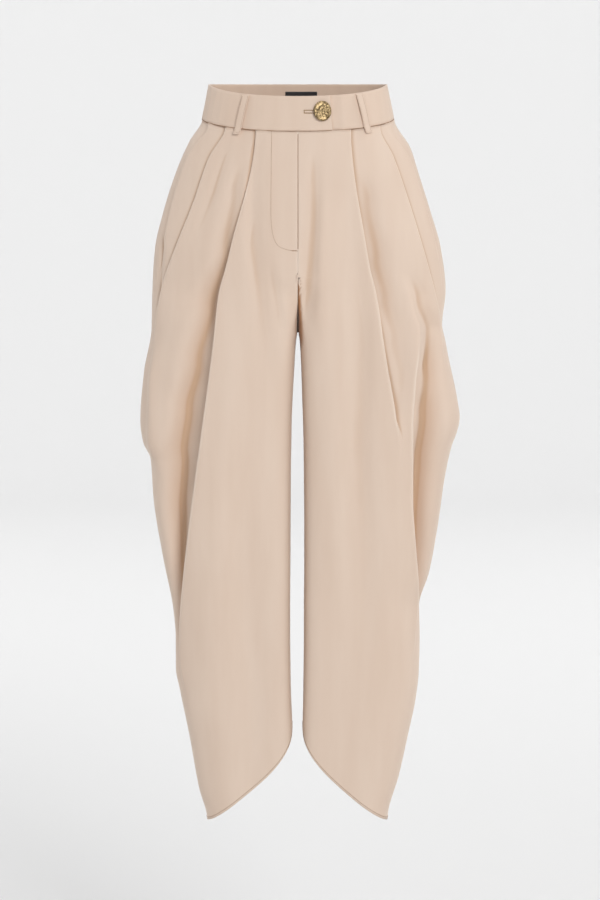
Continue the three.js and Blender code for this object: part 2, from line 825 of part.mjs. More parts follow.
// A belt loop: flat at both ends, bowed off the band between them, its foot just below the seam
function loopGeometry(loop) {
  const angle = loop.front ? bandAngle(loop.x) : Math.PI - bandAngle(loop.x);
  const { steps } = LOOP;
  const downStart = LOOP.top / BAND_HEIGHT;
  const downEnd = 1 + LOOP.below / BAND_HEIGHT;
  const faces = [1, -1].map((face) => Array.from({ length: steps + 1 }, (_, r) => {
    const t = r / steps;
    const { place, outward, along } = bandFrame(angle, mix(downStart, downEnd, t));
    const bow = LOOP.bow * Math.sin(Math.PI * Math.min(1, t / LOOP_BOW.end)) ** LOOP_BOW.power;
    const foot = LOOP_FOOT.off * smoothstep(LOOP_FOOT.from, 1, t);
    const off = BAND_WALL / 2 + SEAM_GAP + LOOP.wall / 2 + bow + foot + face * LOOP.wall / 2;
    const lean = loop.front ? Math.sign(loop.x) * LOOP.leanFront * (t - 0.5) : 0;
    return [-0.5, 0.5].map((side) => place.clone()
      .addScaledVector(outward, off)
      .addScaledVector(along, side * LOOP.width + lean));
  }));
  return closedGrid(faces, steps + 1, 2);
}

function labelGeometry() {
  const [left, right] = [1, -1].map((side) => (
    Math.PI - bandAngle(LABEL.x + side * LABEL.width / 2)));
  const grid = [LABEL.top, LABEL.bottom].map((z) => {
    const down = (BAND_TOP_BACK - z) / BAND_HEIGHT;
    return Array.from({ length: 7 }, (_, k) => {
      const angle = mix(left, right, k / 6);
      return bandPoint(angle, down, BAND_WALL / 2 + SEAM_GAP + LABEL.wall / 2);
    });
  });
  return wallGeometry(grid, LABEL.wall);
}

// The button's face is dished and its rim is rounded; it faces along the band's outward direction
function buttonProfile() {
  const { radius, wall, dish } = BUTTON;
  return [
    [0, 0],
    [radius - BUTTON_EDGE.back, 0],
    [radius, BUTTON_EDGE.rise],
    [radius, wall - BUTTON_EDGE.round],
    [radius - BUTTON_EDGE.rim, wall],
    [radius * BUTTON_DISH.half, wall - dish / 2],
    [radius * BUTTON_DISH.full, wall - dish],
    [0, wall - dish],
  ].map(([r, h]) => new THREE.Vector2(r, h));
}

function buttonGeometry() {
  return weldedCorners(new THREE.LatheGeometry(buttonProfile(), 28));
}

// The button's place on the tab, and the direction square to the band there
function buttonSeat() {
  const down = (BAND_TOP_BACK - BAND_FRONT_DIP - BUTTON.z) / BAND_HEIGHT;
  const angle = bandAngle(BUTTON.x);
  const { place, along } = bandFrame(angle, down);
  const below = bandPoint(angle, down + PROBE, 0).sub(place);
  return { place, along, outward: below.cross(along).normalize() };
}

const trousers = new THREE.Group();

function addPiece(name, geometry, finish, parent = trousers) {
  const mesh = new THREE.Mesh(geometry, new THREE.MeshStandardMaterial(finish));
  mesh.name = name;
  parent.add(mesh);
  return mesh;
}

function addPanels() {
  addPiece('front_right', wallGeometry(frontGrid(RIGHT_LEG), CLOTH_WALL), CLOTH);
  addPiece('front_left', wallGeometry(frontGrid(LEFT_LEG), CLOTH_WALL), CLOTH);
  addPiece('back_right', wallGeometry(backGrid(RIGHT_LEG), CLOTH_WALL), CLOTH);
  addPiece('back_left', wallGeometry(backGrid(LEFT_LEG), CLOTH_WALL), CLOTH);
}

function addWaistband() {
  const side = Math.PI / 2;
  const gap = seamAngle();
  addPiece('band_front_right', tabGeometry(), CLOTH);
  addPiece(
    'band_front_left',
    bandGeometry(bandAngle(UNDERLAP_END_X), side - gap, 18, underlapInset),
    CLOTH,
  );
  addPiece('band_back', bandGeometry(side + gap, 3 * side - gap, 26, () => 0), CLOTH);
  addPiece('label', labelGeometry(), DARK_LABEL);
  LOOPS.forEach((loop) => addPiece(loop.name, loopGeometry(loop), CLOTH));
}

function addFly() {
  addPiece('fly_shield', flyGeometry(SHIELD, { across: 4, down: 9 }), CLOTH);
  addPiece('zip_tape', flyGeometry(ZIP_TAPE, { across: 3, down: 9 }), LINING_SIDE);
  addPiece('zip_slider', flyGeometry(SLIDER, { across: 2, down: 2 }), OLD_GOLD);
}

function addButton() {
  const { place, along, outward } = buttonSeat();
  const up = along.clone().cross(outward);
  const turned = new THREE.Group();
  turned.position.set(place.x, place.y, BUTTON.z);
  turned.quaternion.setFromRotationMatrix(new THREE.Matrix4().makeBasis(along, outward, up));
  trousers.add(turned);
  const button = addPiece('button', buttonGeometry(), OLD_GOLD, turned);
  button.position.y = BAND_WALL / 2 + BUTTON.standOff;
  button.scale.set(1, 1, BUTTON.stretch);
  const back = -UNDERLAP_STEP + BAND_WALL / 2 + 2 * SEAM_GAP;
  const length = BAND_WALL / 2 + BUTTON.standOff - SEAM_GAP - back;
  const shank = new THREE.CylinderGeometry(SHANK_RADIUS, SHANK_RADIUS, length, 12);
  const post = addPiece('button_shank', weldedCorners(shank), OLD_GOLD, turned);
  post.position.y = back + length / 2;
}

addPanels();
addWaistband();
addFly();
addButton();

export default trousers;
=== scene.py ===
"""High-waisted trousers dressed on their frame: cloth, seams, stitching, button and studio.

Sizes are in millimetres in the frame's own axes, and become metres where a mesh is made.
"""

import logging
import math
from dataclasses import dataclass, field
from enum import Enum

import bmesh
import bpy
import numpy as np
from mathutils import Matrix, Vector
from mathutils.bvhtree import BVHTree


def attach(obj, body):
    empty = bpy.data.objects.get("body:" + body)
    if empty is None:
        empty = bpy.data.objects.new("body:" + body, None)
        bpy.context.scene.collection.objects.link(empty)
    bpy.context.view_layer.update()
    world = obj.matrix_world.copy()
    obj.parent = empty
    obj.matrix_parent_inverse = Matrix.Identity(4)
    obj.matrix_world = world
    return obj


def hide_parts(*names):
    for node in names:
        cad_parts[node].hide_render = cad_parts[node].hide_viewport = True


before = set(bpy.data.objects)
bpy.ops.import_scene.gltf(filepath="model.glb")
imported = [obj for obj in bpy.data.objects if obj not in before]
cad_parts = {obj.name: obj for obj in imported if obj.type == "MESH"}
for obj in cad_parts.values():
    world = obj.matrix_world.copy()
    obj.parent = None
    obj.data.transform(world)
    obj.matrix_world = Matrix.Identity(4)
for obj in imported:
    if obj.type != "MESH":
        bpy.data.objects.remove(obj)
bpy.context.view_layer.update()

LOG = logging.getLogger("trousers")

MM = 0.001
SEAM_GAP = 0.3
HALF_GAP = SEAM_GAP / 2
CLOTH_WALL = 0.8
CAD_WALL = 1.2

SECTION_ROUND = 0.85
INSEAM_ROUND = 0.32
INNER_WALL_SHARE = 0.25
VALLEY_FROM = 0.02
CROTCH_Z = -345.0
PROBE = 0.002

HEM_INSEAM_Z = -936.0
HEM_DROP = 142.0
HEM_POWER = 0.55
HEM_TIP_Z = HEM_INSEAM_Z - HEM_DROP
WAIST_LEVEL = -45.0
WAIST_ZONE_END = -115.0
HEM_ZONE_START = -875.0

BAND_HEIGHT = 50.0
BAND_WALL = 2.6
BAND_TOP_BACK = 23.0
BAND_FRONT_DIP = 17.0
BAND_DIP_POWER = 1.5
BAND_TOP_WIDTH = 130.0
BAND_TOP_DEPTH = 88.0
BAND_SEAM_WIDTH = 140.0
BAND_SEAM_DEPTH = 92.0
TAB_END_X = 48.0
UNDERLAP_END_X = 2.0
UNDERLAP_STEP = 2.8
UNDERLAP_RAMP = 14.0

# Reaches of the relief marks, which set painted shade in the cloth's hollows and painted highlights on fold
# edges.
RELIEF_REACH = {"relief_fine": 4.5, "relief_wide": 24.0, "relief_broad": 58.0}
EDGE_REACH = 2.5
THREAD_HEIGHT = 0.0001
FORK_TOP = -258.0
FORK_END = -372.0

Array = np.ndarray
Object = bpy.types.Object
Material = bpy.types.Material
Nodes = bpy.types.Nodes
Links = bpy.types.NodeLinks
Socket = bpy.types.NodeSocket
Colour = tuple[float, float, float]


class Face(Enum):
    """Which half of a leg a panel covers: the sign of its depth."""

    FRONT = -1.0
    BACK = 1.0


class Slot(Enum):
    """The record's material slots."""

    CLOTH = "cloth"
    ZIP_TAPE = "zip_tape"
    LABEL = "dark_label"
    GOLD = "old_gold"


@dataclass(frozen=True)
class Table:
    """Rows of named columns, read as smooth curves over height z."""

    columns: tuple[str, ...]
    rows: tuple[tuple[float, ...], ...]

    def at(self, name: str, z: Array) -> Array:
        """Reads one column at some heights.

        Args:
            name: the column.
            z: heights in mm, any shape.

        Returns:
            The column's values, on a monotone cubic through the rows.
        """
        data = np.array(self.rows)
        knots = data[::-1, 0]
        values = data[::-1, self.columns.index(name)]
        slope = np.diff(values) / np.diff(knots)
        same = slope[:-1] * slope[1:] > 0
        total = np.where(same, slope[:-1] + slope[1:], 1.0)
        tangent = np.zeros_like(values)
        tangent[1:-1] = np.where(same, 2 * slope[:-1] * slope[1:] / total, 0.0)
        z = np.clip(z, knots[0], knots[-1])
        i = np.clip(np.searchsorted(knots, z, side="right") - 1, 0, len(knots) - 2)
        span = knots[i + 1] - knots[i]
        t = (z - knots[i]) / span
        return (
            (2 * t**3 - 3 * t**2 + 1) * values[i]
            + (t**3 - 2 * t**2 + t) * span * tangent[i]
            + (3 * t**2 - 2 * t**3) * values[i + 1]
            + (t**3 - t**2) * span * tangent[i + 1]
        )


FOLD_COLUMNS = ("z", "lip", "rise", "tuck")
OUTLINE_COLUMNS = ("z", "inner", "outer")

DEPTH = Table(("z", "front", "back"), (
    (0, 90, 90),
    (-45, 92, 92),
    (-120, 98, 105),
    (-200, 103, 115),
    (-290, 101, 115),
    (-345, 97, 111),
    (-450, 90, 102),
    (-600, 79, 87),
    (-750, 67, 71),
    (-900, 57, 57),
    (-1078, 46, 47),
))


@dataclass(frozen=True)
class Crotch:
    """Where a panel's section starts to turn from a hip oval into a leg tube."""

    start: float
    power: float

    def leg_share(self, z: Array) -> Array:
        """Returns how far the section has turned into a leg tube, 0 to 1."""
        fallen = np.clip((self.start - z) / (self.start - CROTCH_Z), 0, 1)
        return np.sin(fallen * math.pi / 2) ** self.power


CROTCHES = {Face.FRONT: Crotch(-250.0, 2.4), Face.BACK: Crotch(-195.0, 2.2)}


@dataclass(frozen=True)
class Crease:
    """A soft ridge (height above 0) or trough (below 0) running down a panel.

    Each row is its height z, its distance from the centre line, how high it stands there, and
    how far it spreads to the centre and to the side. It lies only beyond the given fold, counted
    from the centre front; 0 is the whole panel.
    """

    rows: tuple[tuple[float, float, float, float, float], ...]
    beyond: int = 0

    @property
    def table(self) -> Table:
        """The rows as smooth curves."""
        return Table(("z", "at", "height", "centre", "side"), self.rows)


def mix(a: Array, b: Array, t: Array) -> Array:
    """Returns the blend from a to b at share t."""
    return a + (b - a) * t


def smoothstep(low: float, high: float, value: Array) -> Array:
    """Returns 0 below low, 1 above high, and a smooth rise between them."""
    t = np.clip((value - low) / (high - low), 0, 1)
    return t * t * (3 - 2 * t)


def round_power(value: Array, power: Array = SECTION_ROUND) -> Array:
    """Returns a value raised to a power with its sign kept."""
    return np.sign(value) * np.abs(value) ** power


def leg_round(share: Array) -> Array:
    """Returns the squareness of a leg tube, squarer along the inseam."""
    return mix(INSEAM_ROUND, SECTION_ROUND, smoothstep(0.25, 0.75, share))


def oval(turn: Array, power: Array = SECTION_ROUND) -> tuple[Array, Array]:
    """Finds a point of a rounded oval of half sizes 1.

    Args:
        turn: the direction from its middle, in radians.
        power: 1 for a circle, less for a squarer oval.

    Returns:
        The point's two coordinates.
    """
    grade = 2 / power
    reach = (np.abs(np.cos(turn)) ** grade + np.abs(np.sin(turn)) ** grade) ** (-1 / grade)
    return np.cos(turn) * reach, np.sin(turn) * reach


def leg_across(share: Array) -> Array:
    """Returns how far across a leg tube a share of its half section lies."""
    return (1 - oval(share * math.pi, leg_round(share))[0]) / 2


@dataclass
class LegForm:
    """One leg's outline, its front folds and its creases, as distances from the centre line."""

    side: str
    mirror: float
    outline: Table
    folds: tuple[Table, ...]
    fork_shade_width: float
    front_creases: tuple[Crease, ...] = ()
    back_creases: tuple[Crease, ...] = ()

    def section(self, face: Face, share: Array, z: Array, depth: Array) -> Array:
        """Finds points of the plain section.

        Args:
            face: front or back.
            share: 0 at the centre seam or inseam, 1 at the side seam.
            z: heights.
            depth: half depths of the form there.

        Returns:
            Points (..., 2) as distance from the centre line and depth.
        """
        inner = self.outline.at("inner", z)
        outer = self.outline.at("outer", z)
        turned = CROTCHES[face].leg_share(z)
        wall = INNER_WALL_SHARE * turned**0.35
        hip_turn = np.maximum(0.0, share - wall) / (1 - wall) * math.pi / 2
        seam_x = CAD_WALL / 2 * np.minimum(1.0, turned / VALLEY_FROM)
        hip_forward, hip_across = oval(hip_turn)
        hip_x = seam_x + (outer - seam_x) * hip_across
        hip_y = depth * hip_forward
        leg_x = mix(inner, outer, leg_across(share))
        leg_y = depth * oval(share * math.pi, leg_round(share))[1]
        x = mix(hip_x, leg_x, turned)
        y = face.value * mix(hip_y, leg_y, turned)
        return np.stack([x, y], axis=-1)

    def tangent(self, face: Face, share: Array, z: Array, depth: Array) -> Array:
        """Finds which way the section runs, and how fast.

        Args:
            face: front or back.
            share: places across the section.
            z: heights.
            depth: half depths of the form.

        Returns:
            Directions (..., 2), in mm for each unit of share.
        """
        low = np.maximum(0.0, share - PROBE)
        high = np.minimum(1.0, share + PROBE)
        step = self.section(face, high, z, depth) - self.section(face, low, z, depth)
        return step / (high - low)[..., None]

    def speed(self, face: Face, share: Array, z: Array, depth: Array) -> Array:
        """Returns how many millimetres a unit of share covers."""
        return np.linalg.norm(self.tangent(face, share, z, depth), axis=-1)

    def share_at(self, face: Face, x: Array, z: Array, depth: Array) -> Array:
        """Finds where the section lies a given distance from the centre line.

        Args:
            face: front or back.
            x: the distances.
            z: heights.
            depth: half depths of the form.

        Returns:
            The shares, found by halving.
        """
        low = np.zeros_like(z)
        high = np.ones_like(z)
        for _ in range(24):
            middle = (low + high) / 2
            inside = self.section(face, middle, z, depth)[..., 0] < x
            low = np.where(inside, middle, low)
            high = np.where(inside, high, middle)
        return (low + high) / 2

    def raised(self, face: Face, share: Array, height: Array, z: Array, depth: Array) -> Array:
        """Lifts points off the plain section.

        Args:
            face: front or back.
            share: places across the section.
            height: how far each is lifted.
            z: heights.
            depth: half depths of the form.

        Returns:
            Points (..., 3) in the frame's axes, in mm.
        """
        base = self.section(face, share, z, depth)
        tangent = self.tangent(face, share, z, depth)
        tangent = tangent / np.linalg.norm(tangent, axis=-1, keepdims=True)
        free = smoothstep(0.25, 0.42, share)
        out_x = mix(0.0, -face.value * tangent[..., 1], free)
        out_y = mix(face.value, face.value * tangent[..., 0], free)
        length = np.hypot(out_x, out_y)
        turned = CROTCHES[face].leg_share(z)
        lift = height * mix(1.0, smoothstep(0.0, 0.25, share), turned) / length
        x = base[..., 0] + out_x * lift
        y = base[..., 1] + out_y * lift
        return np.stack([self.mirror * (x + HALF_GAP), y + face.value * HALF_GAP, z], axis=-1)


def front_dip(frontness: Array) -> Array:
    """Returns how far the waist dips below its back at some places round it."""
    return BAND_FRONT_DIP * np.maximum(0.0, frontness) ** BAND_DIP_POWER


def height_at(level: Array, share: Array, face: Face) -> Array:
    """Finds the real heights of panel points.

    Args:
        level: the nominal level of each point.
        share: its place across the section.
        face: front or back.

    Returns:
        Heights that follow the waist seam at the top and the hem at the bottom.
    """
    frontness = oval(share * math.pi / 2)[0] if face is Face.FRONT else 0.0 * share
    seam = BAND_TOP_BACK - BAND_HEIGHT - front_dip(frontness) - SEAM_GAP
    hem = HEM_INSEAM_Z - HEM_DROP * leg_across(share) ** HEM_POWER
    top = (WAIST_LEVEL - level) / (WAIST_LEVEL - WAIST_ZONE_END)
    low = (HEM_ZONE_START - level) / (HEM_ZONE_START - HEM_TIP_Z)
    z = np.where(level > WAIST_ZONE_END, mix(seam, WAIST_ZONE_END, top), level)
    return np.where(level < HEM_ZONE_START, mix(HEM_ZONE_START, hem, low), z)


RIGHT_LEG = LegForm(
    side="right",
    mirror=-1.0,
    fork_shade_width=1.2,
    outline=Table(OUTLINE_COLUMNS, (
        (-27, 0.6, 140),
        (-60, 0.6, 159),
        (-100, 0.6, 177),
        (-160, 0.6, 197),
        (-220, 0.6, 211),
        (-280, 0.6, 215),
        (-338, 0.8, 216.5),
        (-350, 2.8, 218),
        (-400, 6, 228),
        (-475, 9.5, 234),
        (-505, 10, 230),
        (-530, 10.5, 219),
        (-590, 11, 215),
        (-680, 11.5, 201),
        (-760, 12, 186),
        (-800, 12, 183),
        (-846, 11.5, 183),
        (-880, 11, 177),
        (-950, 8.5, 163),
        (-1030, 8, 149),
        (-1078, 8, 137),
    )),
    folds=(
        Table(FOLD_COLUMNS, (
            (-45, 60, 3.8, 18),
            (-215, 96, 5, 13),
            (-291, 113, 6, 10),
            (-368, 123, 6, 9),
            (-515, 142, 9, 7),
            (-638, 157, 9, 6),
            (-768, 170, 7, 3),
            (-830, 173, 3, -8),
            (-900, 160, 0, -14),
            (-1078, 120, 0, -14),
        )),
        Table(FOLD_COLUMNS, (
            (-45, 104, 3.8, 16),
            (-86, 126, 4, 12),
            (-149, 148, 4.5, 11),
            (-217, 175, 5, 9),
            (-270, 194, 5, 6),
            (-329, 206, 4, 1),
            (-400, 212, 0.5, -12),
            (-1078, 126, 0, -12),
        )),
        Table(FOLD_COLUMNS, (
            (-45, 134, 3.8, 8),
            (-87, 161, 3.6, 5),
            (-160, 184, 3.5, 4),
            (-218, 196, 3, 1),
            (-279, 204, 1, -8),
            (-330, 211, 0, -8),
            (-1078, 130, 0, -8),
        )),
    ),
    front_creases=(
        Crease(beyond=1, rows=(
            (-70, 75, 0, 8, 8),
            (-130, 92, -4, 10, 10),
            (-215, 104, -8, 12, 14),
            (-300, 126, -15, 16, 22),
            (-380, 146, -20, 22, 24),
            (-450, 163, -24, 26, 22),
            (-520, 176, -27, 28, 20),
            (-600, 182, -27, 26, 17),
            (-680, 180, -20, 20, 14),
            (-760, 176, -8, 13, 10),
            (-820, 174, 0, 10, 8),
        )),
        Crease(beyond=1, rows=(
            (-330, 200, 0, 12, 12),
            (-420, 212, 6, 12, 12),
            (-500, 214, 6, 12, 12),
            (-560, 205, 0, 12, 12),
        )),
        Crease(beyond=1, rows=(
            (-55, 96, 0, 6, 6),
            (-90, 108, -3, 7, 7),
            (-129, 120, -3.5, 8, 7),
            (-174, 136, -2.5, 10, 8),
            (-215, 148, 0, 12, 8),
        )),
        Crease(beyond=2, rows=(
            (-190, 198, 0, 5, 5),
            (-215, 197, -3, 5, 5),
            (-280, 202, -3, 5, 5),
            (-310, 205, 0, 5, 5),
        )),
        Crease(rows=(
            (-46, 55, 0, 8, 6),
            (-75, 61, -3, 10, 7),
            (-120, 65, -4, 13, 8),
            (-194, 66, -5, 15, 9),
            (-254, 59, -5, 15, 10),
            (-314, 51, -4, 15, 12),
            (-375, 44, -2.5, 15, 15),
            (-455, 35, 0, 15, 15),
        )),
        Crease(rows=(
            (-215, 42, 0, 6, 7),
            (-260, 36, -2.5, 7, 8),
            (-310, 28, -3, 8, 8),
            (-370, 20, 0, 8, 8),
        )),
        Crease(rows=(
            (-300, 88, 0, 25, 20),
            (-400, 98, 3, 28, 22),
            (-600, 116, 4, 30, 24),
            (-800, 122, 2, 30, 24),
            (-900, 115, 0, 30, 24),
        )),
        Crease(rows=(
            (-560, 80, 0, 20, 22),
            (-674, 77, -3, 22, 24),
            (-764, 71, -4, 22, 24),
            (-885, 67, -4.5, 20, 22),
            (-1006, 64, -3, 20, 20),
            (-1078, 62, -2, 20, 20),
        )),
    ),
    back_creases=(
        Crease(rows=(
            (-60, 70, 0, 26, 26),
            (-150, 80, -3, 28, 28),
            (-300, 98, -7, 30, 30),
            (-450, 116, -9, 30, 32),
            (-650, 118, -9, 30, 30),
            (-850, 100, -5, 26, 26),
            (-1000, 92, 0, 24, 24),
        )),
        Crease(rows=(
            (-120, 150, 0, 16, 16),
            (-300, 178, 6, 20, 16),
            (-480, 192, 9, 24, 18),
            (-620, 176, 5, 22, 16),
            (-740, 160, 0, 18, 14),
        )),
        Crease(rows=(
            (-330, 40, 0, 12, 16),
            (-400, 52, -4, 14, 18),
            (-520, 66, -5, 16, 20),
            (-640, 72, 0, 16, 20),
        )),
    ),
)

LEFT_LEG = LegForm(
    side="left",
    mirror=1.0,
    fork_shade_width=8.5,
    outline=Table(OUTLINE_COLUMNS, (
        (-27, 0.6, 141),
        (-70, 0.6, 165),
        (-110, 0.6, 178),
        (-160, 0.6, 194),
        (-220, 0.6, 211),
        (-280, 0.6, 218),
        (-330, 0.6, 213),
        (-338, 0.8, 214),
        (-350, 2.6, 217),
        (-380, 4.5, 223),
        (-440, 6.5, 236),
        (-470, 7.5, 240),
        (-490, 8, 236),
        (-512, 8.5, 228),
        (-560, 9, 218),
        (-626, 9.5, 209),
        (-700, 9.5, 196),
        (-753, 9, 181),
        (-800, 9, 182),
        (-850, 8.5, 181),
        (-890, 8, 177),
        (-950, 7, 165),
        (-1010, 7, 152),
        (-1078, 7, 135),
    )),
    folds=(
        Table(FOLD_COLUMNS, (
            (-45, 75, 3.8, 18),
            (-215, 97, 6, 12),
            (-315, 116, 8, 8),
            (-389, 128, 8, 6),
            (-447, 139, 6, 2),
            (-494, 146, 3, -8),
            (-560, 138, 0, -14),
            (-1078, 90, 0, -14),
        )),
        Table(FOLD_COLUMNS, (
            (-45, 98, 0, -8),
            (-120, 125, 0, -8),
            (-217, 150, 0, -8),
            (-300, 166, 0, -8),
            (-350, 171, 1, -7),
            (-389, 170, 3, -3),
            (-424, 167, 6, 1),
            (-471, 164, 9, 4),
            (-583, 163, 10, 5),
            (-652, 167, 10, 5),
            (-738, 174, 6, 1),
            (-800, 172, 1.5, -8),
            (-860, 160, 0, -8),
            (-1078, 104, 0, -8),
        )),
        Table(FOLD_COLUMNS, (
            (-45, 118, 3.8, 16),
            (-86, 135, 4, 12),
            (-119, 147, 4.5, 11),
            (-217, 178, 5, 9),
            (-289, 199, 5, 6),
            (-330, 207, 4, 1),
            (-390, 214, 0.5, -8),
            (-480, 220, 0, -8),
            (-1078, 118, 0, -8),
        )),
        Table(FOLD_COLUMNS, (
            (-45, 137, 3.8, 8),
            (-91, 162, 3.6, 5),
            (-129, 176, 3.5, 4),
            (-218, 201, 3, 1),
            (-256, 208, 1, -8),
            (-300, 210, 0, -8),
            (-1078, 128, 0, -8),
        )),
    ),
    front_creases=(
        Crease(rows=(
            (-60, 22, 0, 8, 8),
            (-105, 22, -3, 8, 9),
            (-153, 23, -4, 10, 11),
            (-214, 19, -4.5, 11, 11),
            (-260, 15, -5, 10, 11),
            (-310, 12, -4, 9, 10),
            (-345, 12, 0, 9, 10),
        )),
        Crease(rows=(
            (-120, 34, 0, 7, 9),
            (-160, 34, 2, 8, 10),
            (-290, 33, 3, 8, 12),
            (-400, 38, 0, 8, 14),
        )),
        Crease(rows=(
            (-110, 70, 0, 18, 14),
            (-172, 75, -3, 20, 15),
            (-255, 84, -6, 22, 16),
            (-335, 90, -7, 22, 17),
            (-416, 89, -7, 22, 18),
            (-497, 87, -7, 20, 18),
            (-560, 91, -6, 20, 18),
            (-650, 96, -4, 20, 18),
            (-760, 98, -2, 20, 18),
            (-860, 98, 0, 20, 18),
        )),
        Crease(beyond=1, rows=(
            (-95, 90, 0, 10, 10),
            (-146, 99, -6, 12, 12),
            (-230, 113, -9, 13, 14),
            (-288, 126, -7, 13, 14),
            (-347, 140, -5, 12, 14),
            (-405, 151, -3, 12, 14),
            (-450, 156, 0, 12, 14),
        )),
        Crease(beyond=1, rows=(
            (-250, 154, 0, 10, 8),
            (-300, 164, 4, 12, 8),
            (-340, 172, 6, 14, 9),
            (-380, 172, 6, 14, 9),
            (-420, 168, 4, 14, 9),
            (-470, 164, 0, 12, 9),
        )),
        Crease(beyond=1, rows=(
            (-240, 160, 0, 10, 12),
            (-288, 176, -6, 11, 14),
            (-336, 193, -9, 13, 15),
            (-380, 197, -8, 15, 15),
            (-430, 196, 0, 16, 15),
        )),
        Crease(beyond=2, rows=(
            (-330, 196, 0, 14, 14),
            (-397, 194, -12, 17, 17),
            (-458, 189, -20, 18, 18),
            (-524, 185, -24, 18, 18),
            (-613, 180, -22, 17, 16),
            (-702, 179, -15, 13, 12),
            (-780, 178, 0, 10, 10),
        )),
        Crease(rows=(
            (-350, 48, 0, 16, 20),
            (-450, 52, 3, 18, 20),
            (-650, 56, 3, 20, 20),
            (-820, 60, 0, 20, 20),
        )),
    ),
    back_creases=(
        Crease(rows=(
            (-60, 74, 0, 26, 26),
            (-150, 84, -4, 28, 28),
            (-300, 96, -7, 30, 30),
            (-450, 110, -9, 30, 32),
            (-650, 112, -8, 30, 30),
            (-850, 98, -4, 26, 26),
            (-1000, 90, 0, 24, 24),
        )),
        Crease(rows=(
            (-120, 152, 0, 16, 16),
            (-300, 180, 7, 20, 16),
            (-470, 198, 8, 24, 18),
            (-600, 174, 5, 22, 16),
            (-700, 160, 0, 18, 14),
        )),
        Crease(rows=(
            (-330, 38, 0, 12, 16),
            (-420, 50, -4, 14, 18),
            (-540, 62, -5, 16, 20),
            (-680, 70, 0, 16, 20),
        )),
    ),
)


def mesh_object(name: str, points: Array, faces: list[tuple[int, ...]]) -> Object:
    """Makes an object at the origin from points in millimetres.

    Args:
        name: the object's name.
        points: vertices (n, 3) in mm.
        faces: index tuples.

    Returns:
        The object, linked to the scene, with smooth faces.
    """
    mesh = bpy.data.meshes.new(name)
    mesh.from_pydata((points * MM).tolist(), [], faces)
    work = bmesh.new()
    work.from_mesh(mesh)
    bmesh.ops.recalc_face_normals(work, faces=work.faces)
    work.to_mesh(mesh)
    work.free()
    mesh.polygons.foreach_set("use_smooth", [True] * len(mesh.polygons))
    obj = bpy.data.objects.new(name, mesh)
    bpy.context.scene.collection.objects.link(obj)
    return obj


def grid_normals(grid: Array) -> Array:
    """Finds the directions square to a grid of points.

    Args:
        grid: points (rows, columns, 3).

    Returns:
        Unit normals of the same shape.
    """
    down = np.gradient(grid, axis=0)
    across = np.gradient(grid, axis=1)
    normal = np.cross(across, down)
    return normal / np.maximum(np.linalg.norm(normal, axis=-1, keepdims=True), 1e-9)


def shell_object(name: str, grid: Array, wall: float) -> Object:
    """Makes a closed wall round a grid of points.

    Args:
        name: the object's name.
        grid: middle of the wall (rows, columns, 3) in mm.
        wall: its thickness.

    Returns:
        The object, with a UV map in metres across and down the cloth.
    """
    rows, columns, _ = grid.shape
    normal = grid_normals(grid) * wall / 2
    points = np.concatenate([(grid + normal).reshape(-1, 3), (grid - normal).reshape(-1, 3)])
    count = rows * columns
    faces = []
    for r in range(rows - 1):
        for c in range(columns - 1):
            a, b = r * columns + c, r * columns + c + 1
            d, e = a + columns, b + columns
            faces.append((a, b, e, d))
            faces.append((count + a, count + d, count + e, count + b))
    top = list(range(columns))
    bottom = [(rows - 1) * columns + c for c in range(columns)]
    left = [r * columns for r in range(rows)]
    right = [r * columns + columns - 1 for r in range(rows)]
    for edge in (top, right, bottom[::-1], left[::-1]):
        for a, b in zip(edge, edge[1:]):
            faces.append((a, count + a, count + b, b))
    obj = mesh_object(name, points, faces)
    add_cloth_uv(obj, grid)
    return obj


def add_relief(obj: Object, grid: Array, outward: Array) -> None:
    """Marks each point of a shell with how far it stands above the cloth round it.

    Args:
        obj: a shell made from the grid.
        grid: the middle of its wall, in mm.
        outward: unit normals of the grid that point away from the body.
    """
    step = np.linalg.norm(np.gradient(grid, axis=1), axis=-1)
    side = np.abs(grid[:, :, 0]).max(axis=1, keepdims=True) - np.abs(grid[:, :, 0])
    facing = np.sign((grid_normals(grid) * outward).sum())
    # These marks set painted shade in hollows and painted highlights on fold edges.
    for label, reach in RELIEF_REACH.items():
        relief = np.zeros(grid.shape[:2])
        for r, row in enumerate(grid):
            both = np.concatenate([row, row * (-1, 1, 1)])
            gap = ((row[:, None, :] - both[None, :, :]) ** 2).sum(axis=-1)
            weight = np.exp(-gap / (2 * reach**2)) * np.tile(step[r], 2)[None, :]
            mean = weight @ both / weight.sum(axis=1, keepdims=True)
            relief[r] = ((row - mean) * outward[r]).sum(axis=-1) / reach
        add_two_sided(obj, label, relief * smoothstep(0.0, reach, side) * facing)
    edge = np.zeros(grid.shape[:2])
    for r, row in enumerate(grid):
        along = np.cumsum(step[r])
        weight = np.exp(-((along[:, None] - along[None, :]) ** 2) / (2 * EDGE_REACH**2)) * step[r][None, :]
        mean = weight @ row / weight.sum(axis=1, keepdims=True)
        edge[r] = ((row - mean) * outward[r]).sum(axis=-1) / EDGE_REACH
    add_two_sided(obj, "relief_edge", edge * smoothstep(0.0, EDGE_REACH, side) * facing)


def add_two_sided(obj: Object, label: str, values: Array) -> None:
    """Stores a value for each point of a shell, with its sign turned on the second side.

    Args:
        obj: a shell made from a grid.
        label: the attribute's name.
        values: one for each point of the grid.
    """
    flat = values.ravel()
    layer = obj.data.attributes.new(label, "FLOAT", "POINT")
    layer.data.foreach_set("value", np.concatenate([flat, -flat]).astype(np.float32))


